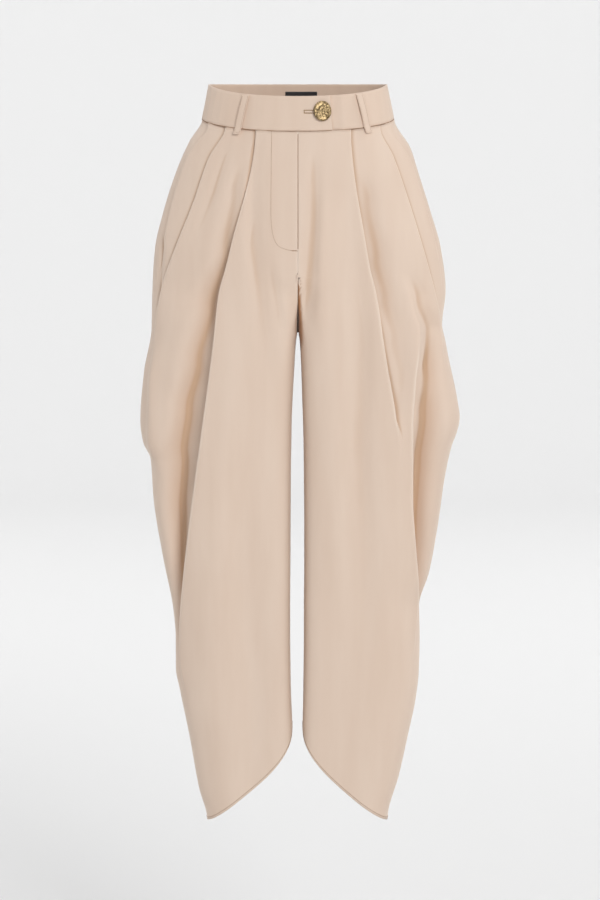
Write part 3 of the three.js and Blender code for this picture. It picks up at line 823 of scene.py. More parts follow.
def add_cloth_uv(obj: Object, grid: Array) -> None:
    """Gives a shell a UV map that measures the cloth in metres.

    Args:
        obj: a shell made from the grid.
        grid: the middle of its wall.
    """
    across = np.linalg.norm(np.diff(grid, axis=1), axis=-1)
    down = np.linalg.norm(np.diff(grid, axis=0), axis=-1)
    u = np.concatenate([np.zeros((grid.shape[0], 1)), np.cumsum(across, axis=1)], axis=1)
    v = np.concatenate([np.zeros((1, grid.shape[1])), np.cumsum(down, axis=0)], axis=0)
    flat = np.stack([u, -v], axis=-1).reshape(-1, 2) * MM
    both = np.concatenate([flat, flat])
    layer = obj.data.uv_layers.new(name="cloth")
    corners = np.empty(len(obj.data.loops), dtype=np.int64)
    obj.data.loops.foreach_get("vertex_index", corners)
    layer.data.foreach_set("uv", both[corners].ravel())


@dataclass
class LegPanel:
    """One cut panel of a leg, front or back, with its folds, creases, seam edges and hem."""

    leg: LegForm
    face: Face
    rows: int = 210
    inner_steps: int = 22
    between_steps: int = 12
    side_steps: int = 10
    back_steps: int = 60
    refine: int = 2
    opened_share: float = 0.8
    fold_share: tuple[float, ...] = (0, 0.2, 0.42, 0.5, 0.58, 0.8, 1)
    tuck_share: tuple[float, ...] = (0, 0, 0, 0.5, 1, 1, 1)
    turn_share: tuple[float, ...] = (0, 1, 0.2, 0, -0.2, -1, 0)
    lip_round: float = 0.45
    closed_from: float = -4.0
    closed_to: float = 2.0
    lip_spacing: float = 0.035
    last_lip: float = 0.965
    turning: float = 2.6
    hem_turning: float = 9.0
    hem_inset: float = 3.8
    fork_close: float = 0.6
    fork_full: float = 0.55
    fork_faded: float = 1.15

    @property
    def name(self) -> str:
        """The panel's node name."""
        return f"{self.face.name.lower()}_{self.leg.side}"

    def levels(self) -> Array:
        """Returns the nominal heights of the panel's rows."""
        return np.linspace(WAIST_LEVEL, HEM_TIP_Z, self.rows)

    def control_path(self, level: Array, depth: Array) -> tuple[Array, Array]:
        """Lays out the folded path at every level.

        Args:
            level: nominal heights (rows,).
            depth: half depths of the plain section there.

        Returns:
            Shares and heights above the section, both (rows, points).
        """
        share_columns, height_columns = [], []
        height = sum(fold.at("rise", level) for fold in self.leg.folds)
        start = np.zeros_like(level)
        previous = np.zeros_like(level)
        for i, fold in enumerate(self.leg.folds):
            lip = self.leg.share_at(self.face, fold.at("lip", level), level, depth)
            latest = self.last_lip - (len(self.leg.folds) - 1 - i) * self.lip_spacing
            lip = np.clip(lip, previous + self.lip_spacing, latest)
            previous = lip
            speed = self.leg.speed(self.face, lip, level, depth)
            rise = fold.at("rise", level)
            tuck = np.maximum(fold.at("tuck", level) / speed, -self.opened_share * self.lip_spacing)
            closed = smoothstep(self.closed_from, self.closed_to, fold.at("tuck", level))
            steps = self.inner_steps if i == 0 else self.between_steps
            for k in range(0 if i == 0 else 1, steps):
                share_columns.append(mix(start, lip, k / steps))
                height_columns.append(height)
            turn = closed * self.lip_round * rise / speed
            last = len(self.fold_share) - 1
            for k, drop in enumerate(self.fold_share):
                even = k / last
                back = mix(even, self.tuck_share[k], closed)
                share_columns.append(lip - tuck * back + turn * self.turn_share[k])
                height_columns.append(height - rise * mix(smoothstep(0, 1, even), drop, closed))
            height = height - rise
            start = lip - tuck
        for k in range(1, self.side_steps + 1):
            share_columns.append(mix(start, 1.0, k / self.side_steps))
            height_columns.append(height)
        return np.stack(share_columns, axis=1), np.stack(height_columns, axis=1)

    def refined(self, columns: Array) -> Array:
        """Smooths columns into a cubic B-spline across the panel.

        Args:
            columns: values (rows, points).

        Returns:
            More columns, with both ends kept.
        """
        first = 2 * columns[:, :1] - columns[:, 1:2]
        last = 2 * columns[:, -1:] - columns[:, -2:-1]
        p = np.concatenate([first, columns, last], axis=1)
        pieces = []
        for k in range(self.refine):
            t = k / self.refine
            weights = ((1 - t) ** 3, 3 * t**3 - 6 * t**2 + 4, -3 * t**3 + 3 * t**2 + 3 * t + 1, t**3)
            padded = np.concatenate([p, p[:, -1:]], axis=1)
            count = columns.shape[1]
            pieces.append(sum(w / 6 * padded[:, j:j + count] for j, w in enumerate(weights)))
        stacked = np.stack(pieces, axis=2).reshape(columns.shape[0], -1)
        whole = stacked[:, : (columns.shape[1] - 1) * self.refine + 1]
        whole[:, 0] = columns[:, 0]
        whole[:, -1] = columns[:, -1]
        return whole

    def beyond(self, count: int) -> Array:
        """Counts the folds between each column and the centre.

        Args:
            count: how many columns there are.

        Returns:
            Folds passed (columns,), all 0 on a back.
        """
        if self.face is Face.BACK:
            return np.zeros(count)
        passed = []
        for i in range(len(self.leg.folds)):
            steps = self.inner_steps if i == 0 else self.between_steps - 1
            passed += [float(i)] * steps
            passed += [i + smoothstep(0.3, 0.7, k / (len(self.fold_share) - 1))
                       for k in range(len(self.fold_share))]
        passed += [float(len(self.leg.folds))] * self.side_steps
        places = np.linspace(0, len(passed) - 1, count)
        return np.interp(places, np.arange(len(passed)), passed)

    def crease_height(self, share: Array, level: Array, depth: Array) -> Array:
        """Adds up the panel's creases.

        Args:
            share: places across the panel (rows, columns).
            level: nominal heights (rows,).
            depth: half depths (rows,).

        Returns:
            Height to add at each point.
        """
        total = np.zeros_like(share)
        passed = self.beyond(share.shape[1])
        creases = self.leg.front_creases if self.face is Face.FRONT else self.leg.back_creases
        for crease in creases:
            table = crease.table
            at = self.leg.share_at(self.face, table.at("at", level), level, depth)
            speed = self.leg.speed(self.face, at, level, depth)
            away = (share - at[:, None]) * speed[:, None]
            centre = table.at("centre", level)[:, None]
            side = table.at("side", level)[:, None]
            width = np.where(away < 0, centre, side)
            here = np.clip(passed - crease.beyond + 1, 0, 1)
            total += here * table.at("height", level)[:, None] * np.exp(-((away / width) ** 2))
        return total

    def grid(self) -> Array:
        """Lays out the middle of the panel's wall.

        Returns:
            Points (rows, columns, 3) in mm.
        """
        level = self.levels()
        whole = DEPTH.at("front" if self.face is Face.FRONT else "back", level)
        if self.face is Face.FRONT:
            total = sum(fold.at("rise", level) for fold in self.leg.folds)
            share, height = self.control_path(level, whole - total)
            share, height = self.refined(share), self.refined(height)
        else:
            total = np.zeros_like(level)
            share = np.tile(np.linspace(0, 1, self.back_steps * self.refine), (self.rows, 1))
            height = np.zeros_like(share)
        height = height + self.crease_height(share, level, whole - total)
        column = level[:, None] + 0 * share
        z = height_at(column, share, self.face)
        depth = DEPTH.at("front" if self.face is Face.FRONT else "back", z) - total[:, None]
        return self.leg.raised(self.face, share, height, z, depth)

    def with_turnings(self, grid: Array) -> Array:
        """Turns the panel's edges in, as seam allowances and a hem.

        Args:
            grid: the panel's own points.

        Returns:
            The grid with rows and columns added along all four edges.
        """
        inward = -grid_normals(grid) * self.outward_sign(grid)
        for axis in (1, 0):
            along = np.gradient(grid, axis=axis)
            along = along / np.maximum(np.linalg.norm(along, axis=-1, keepdims=True), 1e-9)
            before, after = [], []
            first = np.take(grid, [0], axis=axis)
            last = np.take(grid, [-1], axis=axis)
            first_in, last_in = np.take(inward, [0], axis=axis), np.take(inward, [-1], axis=axis)
            first_on, last_on = np.take(along, [0], axis=axis), np.take(along, [-1], axis=axis)
            is_hem = axis == 0
            for depth, back in ((self.turning, 0.5), (0.9, 0.45)):
                before.append(first + first_in * depth + first_on * back)
            hem = ((0.5, 0.2), (1.0, 1.0), (1.1, self.hem_turning))
            seam = ((0.9, 0.45), (self.turning, 0.5))
            for depth, back in hem if is_hem else seam:
                after.append(last + last_in * depth - last_on * back)
            grid = np.concatenate(before + [grid] + after, axis=axis)
            inward = np.concatenate(
                [first_in] * len(before) + [inward] + [last_in] * len(after), axis=axis)
        return grid

    def hem_path(self) -> Array:
        """Finds the line of the hem's stitches, just inside the edge on the outer side.

        Returns:
            Points (n, 3) in mm.
        """
        grid = self.grid()
        out = grid_normals(grid) * self.outward_sign(grid)
        rows = grid + out * (CLOTH_WALL / 2 + 0.08)
        fall = np.concatenate([np.zeros((1, grid.shape[1])),
                               np.cumsum(np.linalg.norm(np.diff(rows[::-1], axis=0), axis=2), axis=0)])
        path = []
        for k in range(grid.shape[1]):
            path.append([np.interp(self.hem_inset, fall[:, k], rows[::-1, k, a]) for a in range(3)])
        return np.array(path)

    def centre_line(self) -> Array:
        """Finds the line where this panel meets its pair, down to the crotch.

        Returns:
            Points (n, 3) in mm, from the waist down.
        """
        grid = self.grid()
        edge = min((grid[:, 0], grid[:, -1]), key=lambda column: np.abs(column[:, 0]).sum())
        above = edge[edge[:, 2] > CROTCH_Z + 4.0]
        return above * (0.0, 1.0, 1.0) - (0.0, 0.5 * np.sign(above[0, 1]), 0.0)

    def outward_sign(self, grid: Array) -> float:
        """Finds which way the grid's normals point.

        Args:
            grid: the panel's points.

        Returns:
            1 where they point away from the leg, else -1.
        """
        middle = grid[self.rows // 2, grid.shape[1] // 2]
        normal = grid_normals(grid)[self.rows // 2, grid.shape[1] // 2]
        return 1.0 if normal[1] * middle[1] > 0 else -1.0

    def build(self) -> Object:
        """Builds the panel.

        Returns:
            The finished piece.
        """
        grid = self.with_turnings(self.grid())
        obj = shell_object(self.name + "_cloth", grid, CLOTH_WALL)
        # Painted shade and highlights come from the relief marks; fork_shade is painted shade where the
        # legs part.
        add_relief(obj, grid, grid_normals(grid) * self.outward_sign(grid))
        add_two_sided(obj, "fork_shade", self.fork_shade(grid) * self.outward_sign(grid))
        return obj

    def fork_shade(self, grid: Array) -> Array:
        """Finds how strongly each point is darkened by painted shade where the legs part.

        Args:
            grid: the panel's points.

        Returns:
            Shades (rows, columns), 0 to 1.
        """
        x, z = np.abs(grid[:, :, 0]), grid[:, :, 2]
        width = self.leg.fork_shade_width * smoothstep(FORK_TOP, CROTCH_Z, z) ** 0.5
        width = width * (1 - self.fork_close * smoothstep(CROTCH_Z, FORK_END, z)) + 0.01
        shade = 1 - smoothstep(self.fork_full * width, self.fork_faded * width, x)
        return shade * (z > FORK_END) * (z < FORK_TOP)


def band_frontness(angle: Array) -> Array:
    """Returns how far towards the front a place round the band lies."""
    return round_power(np.cos(angle))


def band_point(angle: Array, down: Array, inset: Array) -> Array:
    """Finds points in the middle of the waistband.

    Args:
        angle: 0 at the centre front, half a turn at the centre back.
        down: 0 at the rim, 1 at the waist seam.
        inset: how far inside the band's own line.

    Returns:
        Points (..., 3) in mm.
    """
    width = mix(BAND_TOP_WIDTH, BAND_SEAM_WIDTH, down) - inset
    depth = mix(BAND_TOP_DEPTH, BAND_SEAM_DEPTH, down) - inset
    front = band_frontness(angle)
    z = BAND_TOP_BACK - front_dip(front) - BAND_HEIGHT * down
    return np.stack([width * round_power(np.sin(angle)), -depth * front, z], axis=-1)


def band_angle(x: float) -> float:
    """Returns the angle at which the front of the band is x from the centre line."""
    half = (BAND_TOP_WIDTH + BAND_SEAM_WIDTH) / 2
    return math.copysign(math.asin((abs(x) / half) ** (1 / SECTION_ROUND)), x)


def band_outward(angle: Array, down: Array) -> Array:
    """Finds directions away from the band.

    Args:
        angle: places round the band.
        down: 0 at the rim, 1 at the waist seam.

    Returns:
        Unit directions, level with the ground.
    """
    step = band_point(angle + PROBE, down, 0.0) - band_point(angle - PROBE, down, 0.0)
    out = np.stack([step[..., 1], -step[..., 0], np.zeros_like(step[..., 0])], axis=-1)
    return out / np.linalg.norm(out, axis=-1, keepdims=True)


@dataclass
class BandPiece:
    """A stretch of the doubled waistband, rounded over its rim and ends."""

    name: str
    start: float
    end: float
    steps: int
    underlap: bool = False
    loop_points: int = 22
    inner_shade: float = 0.3
    outer_shade: float = 0.15
    tab_shade: float = 0.3

    def inset(self, angle: Array) -> Array:
        """Finds how far the piece steps inwards, behind the tab.

        Args:
            angle: places round the band.

        Returns:
            Distances in mm.
        """
        if not self.underlap:
            return np.zeros_like(angle)
        x = band_point(angle, 0.5, 0.0)[..., 0]
        return UNDERLAP_STEP * (1 - smoothstep(TAB_END_X + 3, TAB_END_X + 3 + UNDERLAP_RAMP, x))

    def profile(self) -> list[tuple[float, float]]:
        """Draws the band's cut end, a flat loop with round edges.

        Returns:
            Points as (down, outward).
        """
        half = BAND_WALL / 2
        edge = half / BAND_HEIGHT
        points = []
        for k in range(self.loop_points):
            turn = 2 * math.pi * k / self.loop_points
            down = 0.5 - (0.5 - edge) * max(-1.0, min(1.0, 1.6 * math.sin(turn))) - edge * math.sin(turn)
            points.append((down, half * round_power(np.array(math.cos(turn)), 0.35).item()))
        return points

    def build(self) -> Object:
        """Builds the stretch of band.

        Returns:
            The finished piece.
        """
        angle = np.linspace(self.start, self.end, self.steps + 1)
        inset = self.inset(angle)
        loops = []
        for down, out in self.profile():
            base = band_point(angle, down, inset)
            wave = 0.18 * np.sin(angle * 23 + down * 5) + 0.12 * np.sin(angle * 41 + 1.7)
            loops.append(base + band_outward(angle, down) * (out + wave)[..., None])
        obj = tube_object(self.name + "_cloth", np.stack(loops, axis=1))
        # Painted shade: the band's inner side, its outer side and a strip beside the tab's end are darkened
        # through relief_wide.
        shades = np.array([self.inner_shade if out < 0 else self.outer_shade for _, out in self.profile()])
        values = -np.tile(shades, self.steps + 1)
        if self.underlap:
            beside = band_point(angle, 0.5, 0.0)[..., 0] - TAB_END_X
            values -= np.repeat(self.tab_shade * np.exp(-((beside / 2.2) ** 2)), len(shades))
        obj.data.attributes.new("relief_wide", "FLOAT", "POINT").data.foreach_set("value", values)
        return obj


def tube_object(name: str, grid: Array) -> Object:
    """Makes a closed tube from rings of points.

    Args:
        name: the object's name.
        grid: rings (rings, points, 3) in mm.

    Returns:
        The object, with capped ends.
    """
    rings, count, _ = grid.shape
    faces = []
    for r in range(rings - 1):
        for k in range(count):
            n = (k + 1) % count
            faces.append((r * count + k, r * count + n, (r + 1) * count + n, (r + 1) * count + k))
    faces.append(tuple(range(count)))
    faces.append(tuple((rings - 1) * count + k for k in reversed(range(count))))
    return mesh_object(name, grid.reshape(-1, 3), faces)


@dataclass(frozen=True)
class BandFrame:
    """A place on the middle of the waistband with its outward and sideways directions."""

    place: Array
    outward: Array
    along: Array

    @staticmethod
    def at(angle: float, down: float) -> "BandFrame":
        """Finds the frame of one place on the band.

        Args:
            angle: place round the band.
            down: share of its height.

        Returns:
            The frame.
        """
        turn, low = np.array(angle), np.array(down)
        outward = band_outward(turn, low)
        along = np.array([-outward[1], outward[0], 0.0])
        return BandFrame(band_point(turn, low, 0.0), outward, along)


def unit_towards(direction: Array, side: Array) -> Array:
    """Turns a direction to the side it should point to.

    Args:
        direction: any vector.
        side: a vector on the wanted side.

    Returns:
        The direction or its opposite, at length 1.
    """
    return np.sign(np.dot(direction, side)) * direction / np.linalg.norm(direction)


@dataclass
class BeltLoop:
    """A narrow strip bowed off the band, its foot sewn just below the waist seam."""

    name: str
    x: float
    front: bool
    width: float = 10.5
    wall: float = 1.3
    top: float = 1.5
    below: float = 8.0
    bow: float = 2.6
    bow_end: float = 0.91
    bow_power: float = 0.6
    foot_from: float = 0.8
    foot_off: float = 3.2
    lean: float = 7.0
    steps: int = 44
    ring: int = 20
    stitch_inset: float = 1.1
    end_narrow: float = 0.12
    narrow_over: float = 1.5
    end_thin: float = 0.45
    thin_over: float = 1.2
    side_square: float = 0.3
    face_square: float = 0.45

    def point(self, t: float, side: float, off: float) -> Array:
        """Finds a point of the loop.

        Args:
            t: 0 at the rim, 1 at the foot.
            side: distance from the strip's middle.
            off: distance out from the middle of its wall.

        Returns:
            The point in mm.
        """
        angle = band_angle(self.x)
        angle = angle if self.front else math.pi - angle
        down = mix(self.top / BAND_HEIGHT, 1 + self.below / BAND_HEIGHT, t)
        here = BandFrame.at(angle, down)
        bow = self.bow * math.sin(math.pi * min(1.0, t / self.bow_end)) ** self.bow_power
        foot = self.foot_off * float(smoothstep(self.foot_from, 1.0, np.array(t)))
        gap = BAND_WALL / 2 + SEAM_GAP + self.wall / 2 + bow + foot
        lean = math.copysign(self.lean, self.x) * (t - 0.5) if self.front else 0.0
        return here.place + here.outward * (gap + off) + here.along * (side + lean)

    def build(self) -> Object:
        """Builds the strip.

        Returns:
            The finished piece, with rounded edges and ends.
        """
        rings = []
        for k in range(self.steps + 1):
            t = k / self.steps
            near_end = min(t, 1 - t) * (BAND_HEIGHT + self.below)
            narrow = 1 - self.end_narrow * max(0.0, 1 - near_end / self.narrow_over) ** 2
            thin = 1 - self.end_thin * max(0.0, 1 - near_end / self.thin_over) ** 2
            ring = []
            for j in range(self.ring):
                a = 2 * math.pi * j / self.ring
                side = narrow * self.width / 2 * float(round_power(np.array(math.cos(a)), self.side_square))
                off = thin * self.wall / 2 * float(round_power(np.array(math.sin(a)), self.face_square))
                ring.append(self.point(t, side, off))
            rings.append(ring)
        return tube_object(self.name + "_cloth", np.array(rings))

    def stitch_paths(self) -> list[Array]:
        """Lays out the stitches.

        Returns:
            The two rows along the edges and the bar across the foot.
        """
        half = self.width / 2 - self.stitch_inset
        surface = self.wall / 2 + 0.1
        paths = []
        for side in (-half, half):
            paths.append(np.array([self.point(t, side, surface) for t in np.linspace(0.05, 0.94, 60)]))
        paths.append(np.array([self.point(0.955, side, surface) for side in np.linspace(-half, half, 8)]))
        return paths


@dataclass
class GoldButton:
    """A hammered disc with a rolled rim, standing off the tab on its shank."""

    x: float = 35.0
    down: float = 0.44
    half_width: float = 13.1
    half_height: float = 14.5
    stand_off: float = 0.8
    wall: float = 2.6
    strikes: int = 22
    strike_depth: float = 0.85
    strike_curve: float = 0.075
    pit: tuple[float, float] = (6.6, -8.0)
    pit_depth: float = 1.6
    pit_spread: float = 3.0
    seat_off: float = 0.9
    face_edge: float = 0.955
    rim_at: float = 0.93
    rim_width: float = 0.035
    rim_height: float = 0.35
    rolled: tuple[tuple[float, float], ...] = (
        (0.985, 0.86), (1.0, 0.6), (1.0, 0.3), (0.985, 0.1), (0.95, 0.0), (0.6, 0.0),
    )
    tilt: tuple[float, float] = (0.1, 0.07)
    rings: int = 34
    spokes: int = 110
    seed: int = 11

    def hammered(self, across: Array, up: Array) -> Array:
        """Finds the height of the beaten face.

        Args:
            across: distances across from the face's middle.
            up: distances up from it.

        Returns:
            Heights in mm, 0 at the crests.
        """
        rng = np.random.default_rng(self.seed)
        turn = rng.uniform(0, 2 * math.pi, self.strikes)
        reach = self.half_height * np.sqrt(rng.uniform(0, 1, self.strikes))
        depth = self.strike_depth * rng.uniform(0.55, 1.2, self.strikes)
        height = np.zeros_like(across)
        for a, r, d in zip(turn, reach, depth):
            gap = (across - r * math.cos(a)) ** 2 + (up - r * math.sin(a)) ** 2
            height = np.minimum(height, gap * self.strike_curve - d)
        away = (across - self.pit[0]) ** 2 + (up - self.pit[1]) ** 2
        return height - self.pit_depth * np.exp(-away / self.pit_spread)

    def build(self) -> Object:
        """Builds the button.

        Returns:
            The finished piece.
        """
        here = BandFrame.at(band_angle(self.x), self.down)
        below = band_point(np.array(band_angle(self.x)), np.array(self.down + PROBE), 0.0) - here.place
        out = unit_towards(np.cross(below, here.along), here.outward)
        tilted = out + here.along * self.tilt[0] + np.array([0, 0, self.tilt[1]])
        out = unit_towards(tilted, tilted)
        across = unit_towards(np.cross((0.0, 0.0, 1.0), out), (1.0, 0.0, 0.0))
        up = unit_towards(np.cross(out, across), (0.0, 0.0, 1.0))
        seat = here.place + here.outward * (BAND_WALL / 2 + self.stand_off + self.seat_off)
        face = [(self.face_edge * k / self.rings, 1.0) for k in range(1, self.rings + 1)]
        turn = np.linspace(0, 2 * math.pi, self.spokes, endpoint=False)
        rows = []
        for r, h in face + list(self.rolled):
            u = r * self.half_width * np.cos(turn)
            v = r * self.half_height * np.sin(turn)
            height = np.full_like(u, h * self.wall)
            if h == 1.0:
                height += self.hammered(u, v) * smoothstep(1.0, 0.9, np.array(r))
                height += self.rim_height * math.exp(-(((r - self.rim_at) / self.rim_width) ** 2))
            rows.append(seat + u[:, None] * across + v[:, None] * up + height[:, None] * out)
        return tube_object("gold_button", np.array(rows))


@dataclass(frozen=True)
class MetalFinish:
    """Old metal: polished crests, dark hollows and fine scratches."""

    name: str
    bright: Colour
    dark: Colour
    roughness: float = 0.34

    def material(self) -> Material:
        """Builds the metal's material.

        Returns:
            A material that reads Object coordinates in metres.
        """
        material, nodes, links, shader = new_material(self.name)
        shader.inputs["Metallic"].default_value = 1.0
        place = nodes.new("ShaderNodeTexCoord").outputs["Object"]
        stain = noise_node(nodes, links, place, 420.0, 4.0)
        scratch = noise_node(nodes, links, place, 2600.0, 2.0)
        ramp = nodes.new("ShaderNodeValToRGB")
        ramp.color_ramp.elements[0].position = 0.36
        ramp.color_ramp.elements[0].color = (*self.dark, 1.0)
        ramp.color_ramp.elements[1].position = 0.62
        ramp.color_ramp.elements[1].color = (*self.bright, 1.0)
        links.new(stain, ramp.inputs["Fac"])
        links.new(ramp.outputs["Color"], shader.inputs["Base Color"])
        rough = nodes.new("ShaderNodeMapRange")
        rough.inputs["To Min"].default_value = self.roughness
        rough.inputs["To Max"].default_value = self.roughness + 0.25
        links.new(stain, rough.inputs["Value"])
        links.new(rough.outputs["Result"], shader.inputs["Roughness"])
        add_bump(nodes, links, shader, scratch, 0.4, THREAD_HEIGHT)
        return material


@dataclass(frozen=True)
class WovenFinish:
    """A close woven tape or satin ribbon: rows of threads with a soft shine."""

    name: str
    colour: Colour
    threads_per_mm: float
    roughness: float = 0.5
    sheen: float = 0.3

    def material(self) -> Material:
        """Builds the tape's material.

        Returns:
            A material that reads Object coordinates in metres.
        """
        material, nodes, links, shader = new_material(self.name)
        shader.inputs["Roughness"].default_value = self.roughness
        shader.inputs["Sheen Weight"].default_value = self.sheen
        place = nodes.new("ShaderNodeTexCoord").outputs["Object"]
        waves = []
        for axis in ("X", "Z"):
            wave = nodes.new("ShaderNodeTexWave")
            wave.bands_direction = axis
            wave.inputs["Scale"].default_value = self.threads_per_mm * 1000 / (2 * math.pi)
            links.new(place, wave.inputs["Vector"])
            waves.append(wave.outputs["Fac"])
        weave = nodes.new("ShaderNodeMath")
        weave.operation = "MULTIPLY"
        links.new(waves[0], weave.inputs[0])
        links.new(waves[1], weave.inputs[1])
        tone = colour_mix(nodes, tuple(0.6 * part for part in self.colour), self.colour)
        links.new(weave.outputs[0], tone.inputs["Factor"])
        links.new(tone.outputs["Result"], shader.inputs["Base Color"])
        add_bump(nodes, links, shader, weave.outputs[0], 0.5, THREAD_HEIGHT)
        return material


@dataclass
class FlyLayer:
    """A strip of cloth or tape behind the fly, following the inside of the front."""

    name: str
    left: float
    right: float
    top: float
    bottom: float
    behind: float
    wall: float

    def build(self) -> Object:
        """Builds the strip.

        Returns:
            The finished piece.
        """
        z = np.linspace(self.top, self.bottom, 60)[:, None]
        x = np.linspace(self.right, self.left, 24)[None, :]
        z, x = z + 0 * x, x + 0 * z
        power = 2 / SECTION_ROUND
        outer = LEFT_LEG.outline.at("outer", z)
        front = DEPTH.at("front", z) * (1 - np.abs(x / outer) ** power) ** (1 / power)
        y = -front * (1 - CROTCHES[Face.FRONT].leg_share(z)) - HALF_GAP + self.behind
        return shell_object(self.name + "_cloth", np.stack([x, y, z], axis=-1), self.wall)


@dataclass(frozen=True)
class ThreadFinish:
    """Twisted sewing thread with its ply showing as fine slanting bands."""

    name: str
    colour: Colour
    roughness: float = 0.55

    def material(self) -> Material:
        """Builds the thread's material.

        Returns:
            A material that reads Object coordinates in metres.
        """
        material, nodes, links, shader = new_material(self.name)
        shader.inputs["Roughness"].default_value = self.roughness
        shader.inputs["Sheen Weight"].default_value = 0.1
        place = nodes.new("ShaderNodeTexCoord").outputs["Object"]
        ply = nodes.new("ShaderNodeTexWave")
        ply.bands_direction = "DIAGONAL"
        ply.inputs["Scale"].default_value = 900.0
        links.new(place, ply.inputs["Vector"])
        tone = colour_mix(nodes, self.colour, tuple(0.7 * part for part in self.colour))
        links.new(ply.outputs["Fac"], tone.inputs["Factor"])
        links.new(tone.outputs["Result"], shader.inputs["Base Color"])
        add_bump(nodes, links, shader, ply.outputs["Fac"], 0.5, THREAD_HEIGHT)
        return material


@dataclass
class StitchRun:
    """Stitches laid end to end, or side by side, along paths by a node tree."""

    name: str
    pitch: float = 2.6
    length: float = 2.2
    radius: float = 0.3
    across: bool = False
    seed: int = 7

    def tree(self) -> bpy.types.GeometryNodeTree:
        """Builds the node tree that turns paths into stitches.

        Returns:
            The tree, whose inputs are Paths, Pitch, Length, Radius, Seed and Thread.
        """
        tree = bpy.data.node_groups.new(self.name + "_tree", "GeometryNodeTree")
        inputs = (("Paths", "Geometry"), ("Pitch", "Float"), ("Length", "Float"),
                  ("Radius", "Float"), ("Seed", "Int"), ("Thread", "Material"))
        for label, kind in inputs:
            tree.interface.new_socket(label, in_out="INPUT", socket_type="NodeSocket" + kind)
        tree.interface.new_socket("Stitches", in_out="OUTPUT", socket_type="NodeSocketGeometry")
        nodes, links = tree.nodes, tree.links
        given = nodes.new("NodeGroupInput").outputs
        curve = nodes.new("GeometryNodeMeshToCurve")
        links.new(given["Paths"], curve.inputs["Mesh"])
        spaced = nodes.new("GeometryNodeResampleCurve")
        spaced.mode = "LENGTH"
        links.new(curve.outputs["Curve"], spaced.inputs["Curve"])
        links.new(given["Pitch"], spaced.inputs["Length"])
        bead = nodes.new("GeometryNodeMeshUVSphere")
        bead.inputs["Segments"].default_value = 6
        bead.inputs["Rings"].default_value = 5
        bead.inputs["Radius"].default_value = 1.0
        laid = nodes.new("GeometryNodeInstanceOnPoints")
        links.new(spaced.outputs["Curve"], laid.inputs["Points"])
        links.new(bead.outputs["Mesh"], laid.inputs["Instance"])
        links.new(self.direction(nodes, links), laid.inputs["Rotation"])
        links.new(self.size(nodes, links, given), laid.inputs["Scale"])
        real = nodes.new("GeometryNodeRealizeInstances")
        links.new(laid.outputs["Instances"], real.inputs["Geometry"])
        dressed = nodes.new("GeometryNodeSetMaterial")
        links.new(real.outputs["Geometry"], dressed.inputs["Geometry"])
        links.new(given["Thread"], dressed.inputs["Material"])
        out = nodes.new("NodeGroupOutput")
        links.new(dressed.outputs["Geometry"], out.inputs["Stitches"])
        return tree

    def direction(self, nodes: Nodes, links: Links) -> Socket:
        """Lays a stitch along its path, or across it.

        Args:
            nodes: the tree's nodes.
            links: its links.

        Returns:
            The rotation.
        """
        tangent = nodes.new("GeometryNodeInputTangent").outputs["Tangent"]
        if self.across:
            cross = nodes.new("ShaderNodeVectorMath")
            cross.operation = "CROSS_PRODUCT"
            cross.inputs[1].default_value = (0.0, 1.0, 0.0)
            links.new(tangent, cross.inputs[0])
            tangent = cross.outputs["Vector"]
        turn = nodes.new("FunctionNodeAlignRotationToVector")
        turn.axis = "Z"
        links.new(tangent, turn.inputs["Vector"])
        return turn.outputs["Rotation"]

    def size(self, nodes: Nodes, links: Links, given: bpy.types.NodeInputs) -> Socket:
        """Works out each stitch's scale, a little uneven along its length.

        Args:
            nodes: the tree's nodes.
            links: its links.
            given: the tree's inputs.

        Returns:
            The scale.
        """
        uneven = nodes.new("FunctionNodeRandomValue")
        uneven.inputs[2].default_value = 0.42
        uneven.inputs[3].default_value = 0.52
        links.new(given["Seed"], uneven.inputs["Seed"])
        long = nodes.new("ShaderNodeMath")
        long.operation = "MULTIPLY"
        links.new(given["Length"], long.inputs[0])
        links.new(uneven.outputs[1], long.inputs[1])
        scale = nodes.new("ShaderNodeCombineXYZ")
        links.new(given["Radius"], scale.inputs["X"])
        links.new(given["Radius"], scale.inputs["Y"])
        links.new(long.outputs[0], scale.inputs["Z"])
        return scale.outputs["Vector"]

    def lay(self, paths: list[Array], thread: Material) -> Object:
        """Lays the stitches.

        Args:
            paths: lines of points (n, 3) in mm.
            thread: the thread's material.

        Returns:
            The stitches as a plain mesh.
        """
        edges, start = [], 0
        for path in paths:
            edges += [(start + k, start + k + 1) for k in range(len(path) - 1)]
            start += len(path)
        mesh = bpy.data.meshes.new(self.name + "_path")
        mesh.from_pydata((np.concatenate(paths) * MM).tolist(), edges, [])
        line = bpy.data.objects.new(self.name + "_path", mesh)
        bpy.context.scene.collection.objects.link(line)
        tree = self.tree()
        modifier = line.modifiers.new("stitches", "NODES")
        modifier.node_group = tree
        values = {"Pitch": self.pitch * MM, "Length": self.length * MM, "Radius": self.radius * MM,
                  "Seed": self.seed, "Thread": thread}
        for item in tree.interface.items_tree:
            if item.in_out == "INPUT" and item.name in values:
                modifier[item.identifier] = values[item.name]
        bpy.context.view_layer.update()
        evaluated = line.evaluated_get(bpy.context.evaluated_depsgraph_get())
        made = bpy.data.meshes.new_from_object(evaluated)
        line.modifiers.clear()
        bpy.data.objects.remove(line, do_unlink=True)
        made.polygons.foreach_set("use_smooth", [True] * len(made.polygons))
        obj = bpy.data.objects.new(self.name, made)
        bpy.context.scene.collection.objects.link(obj)
        return obj


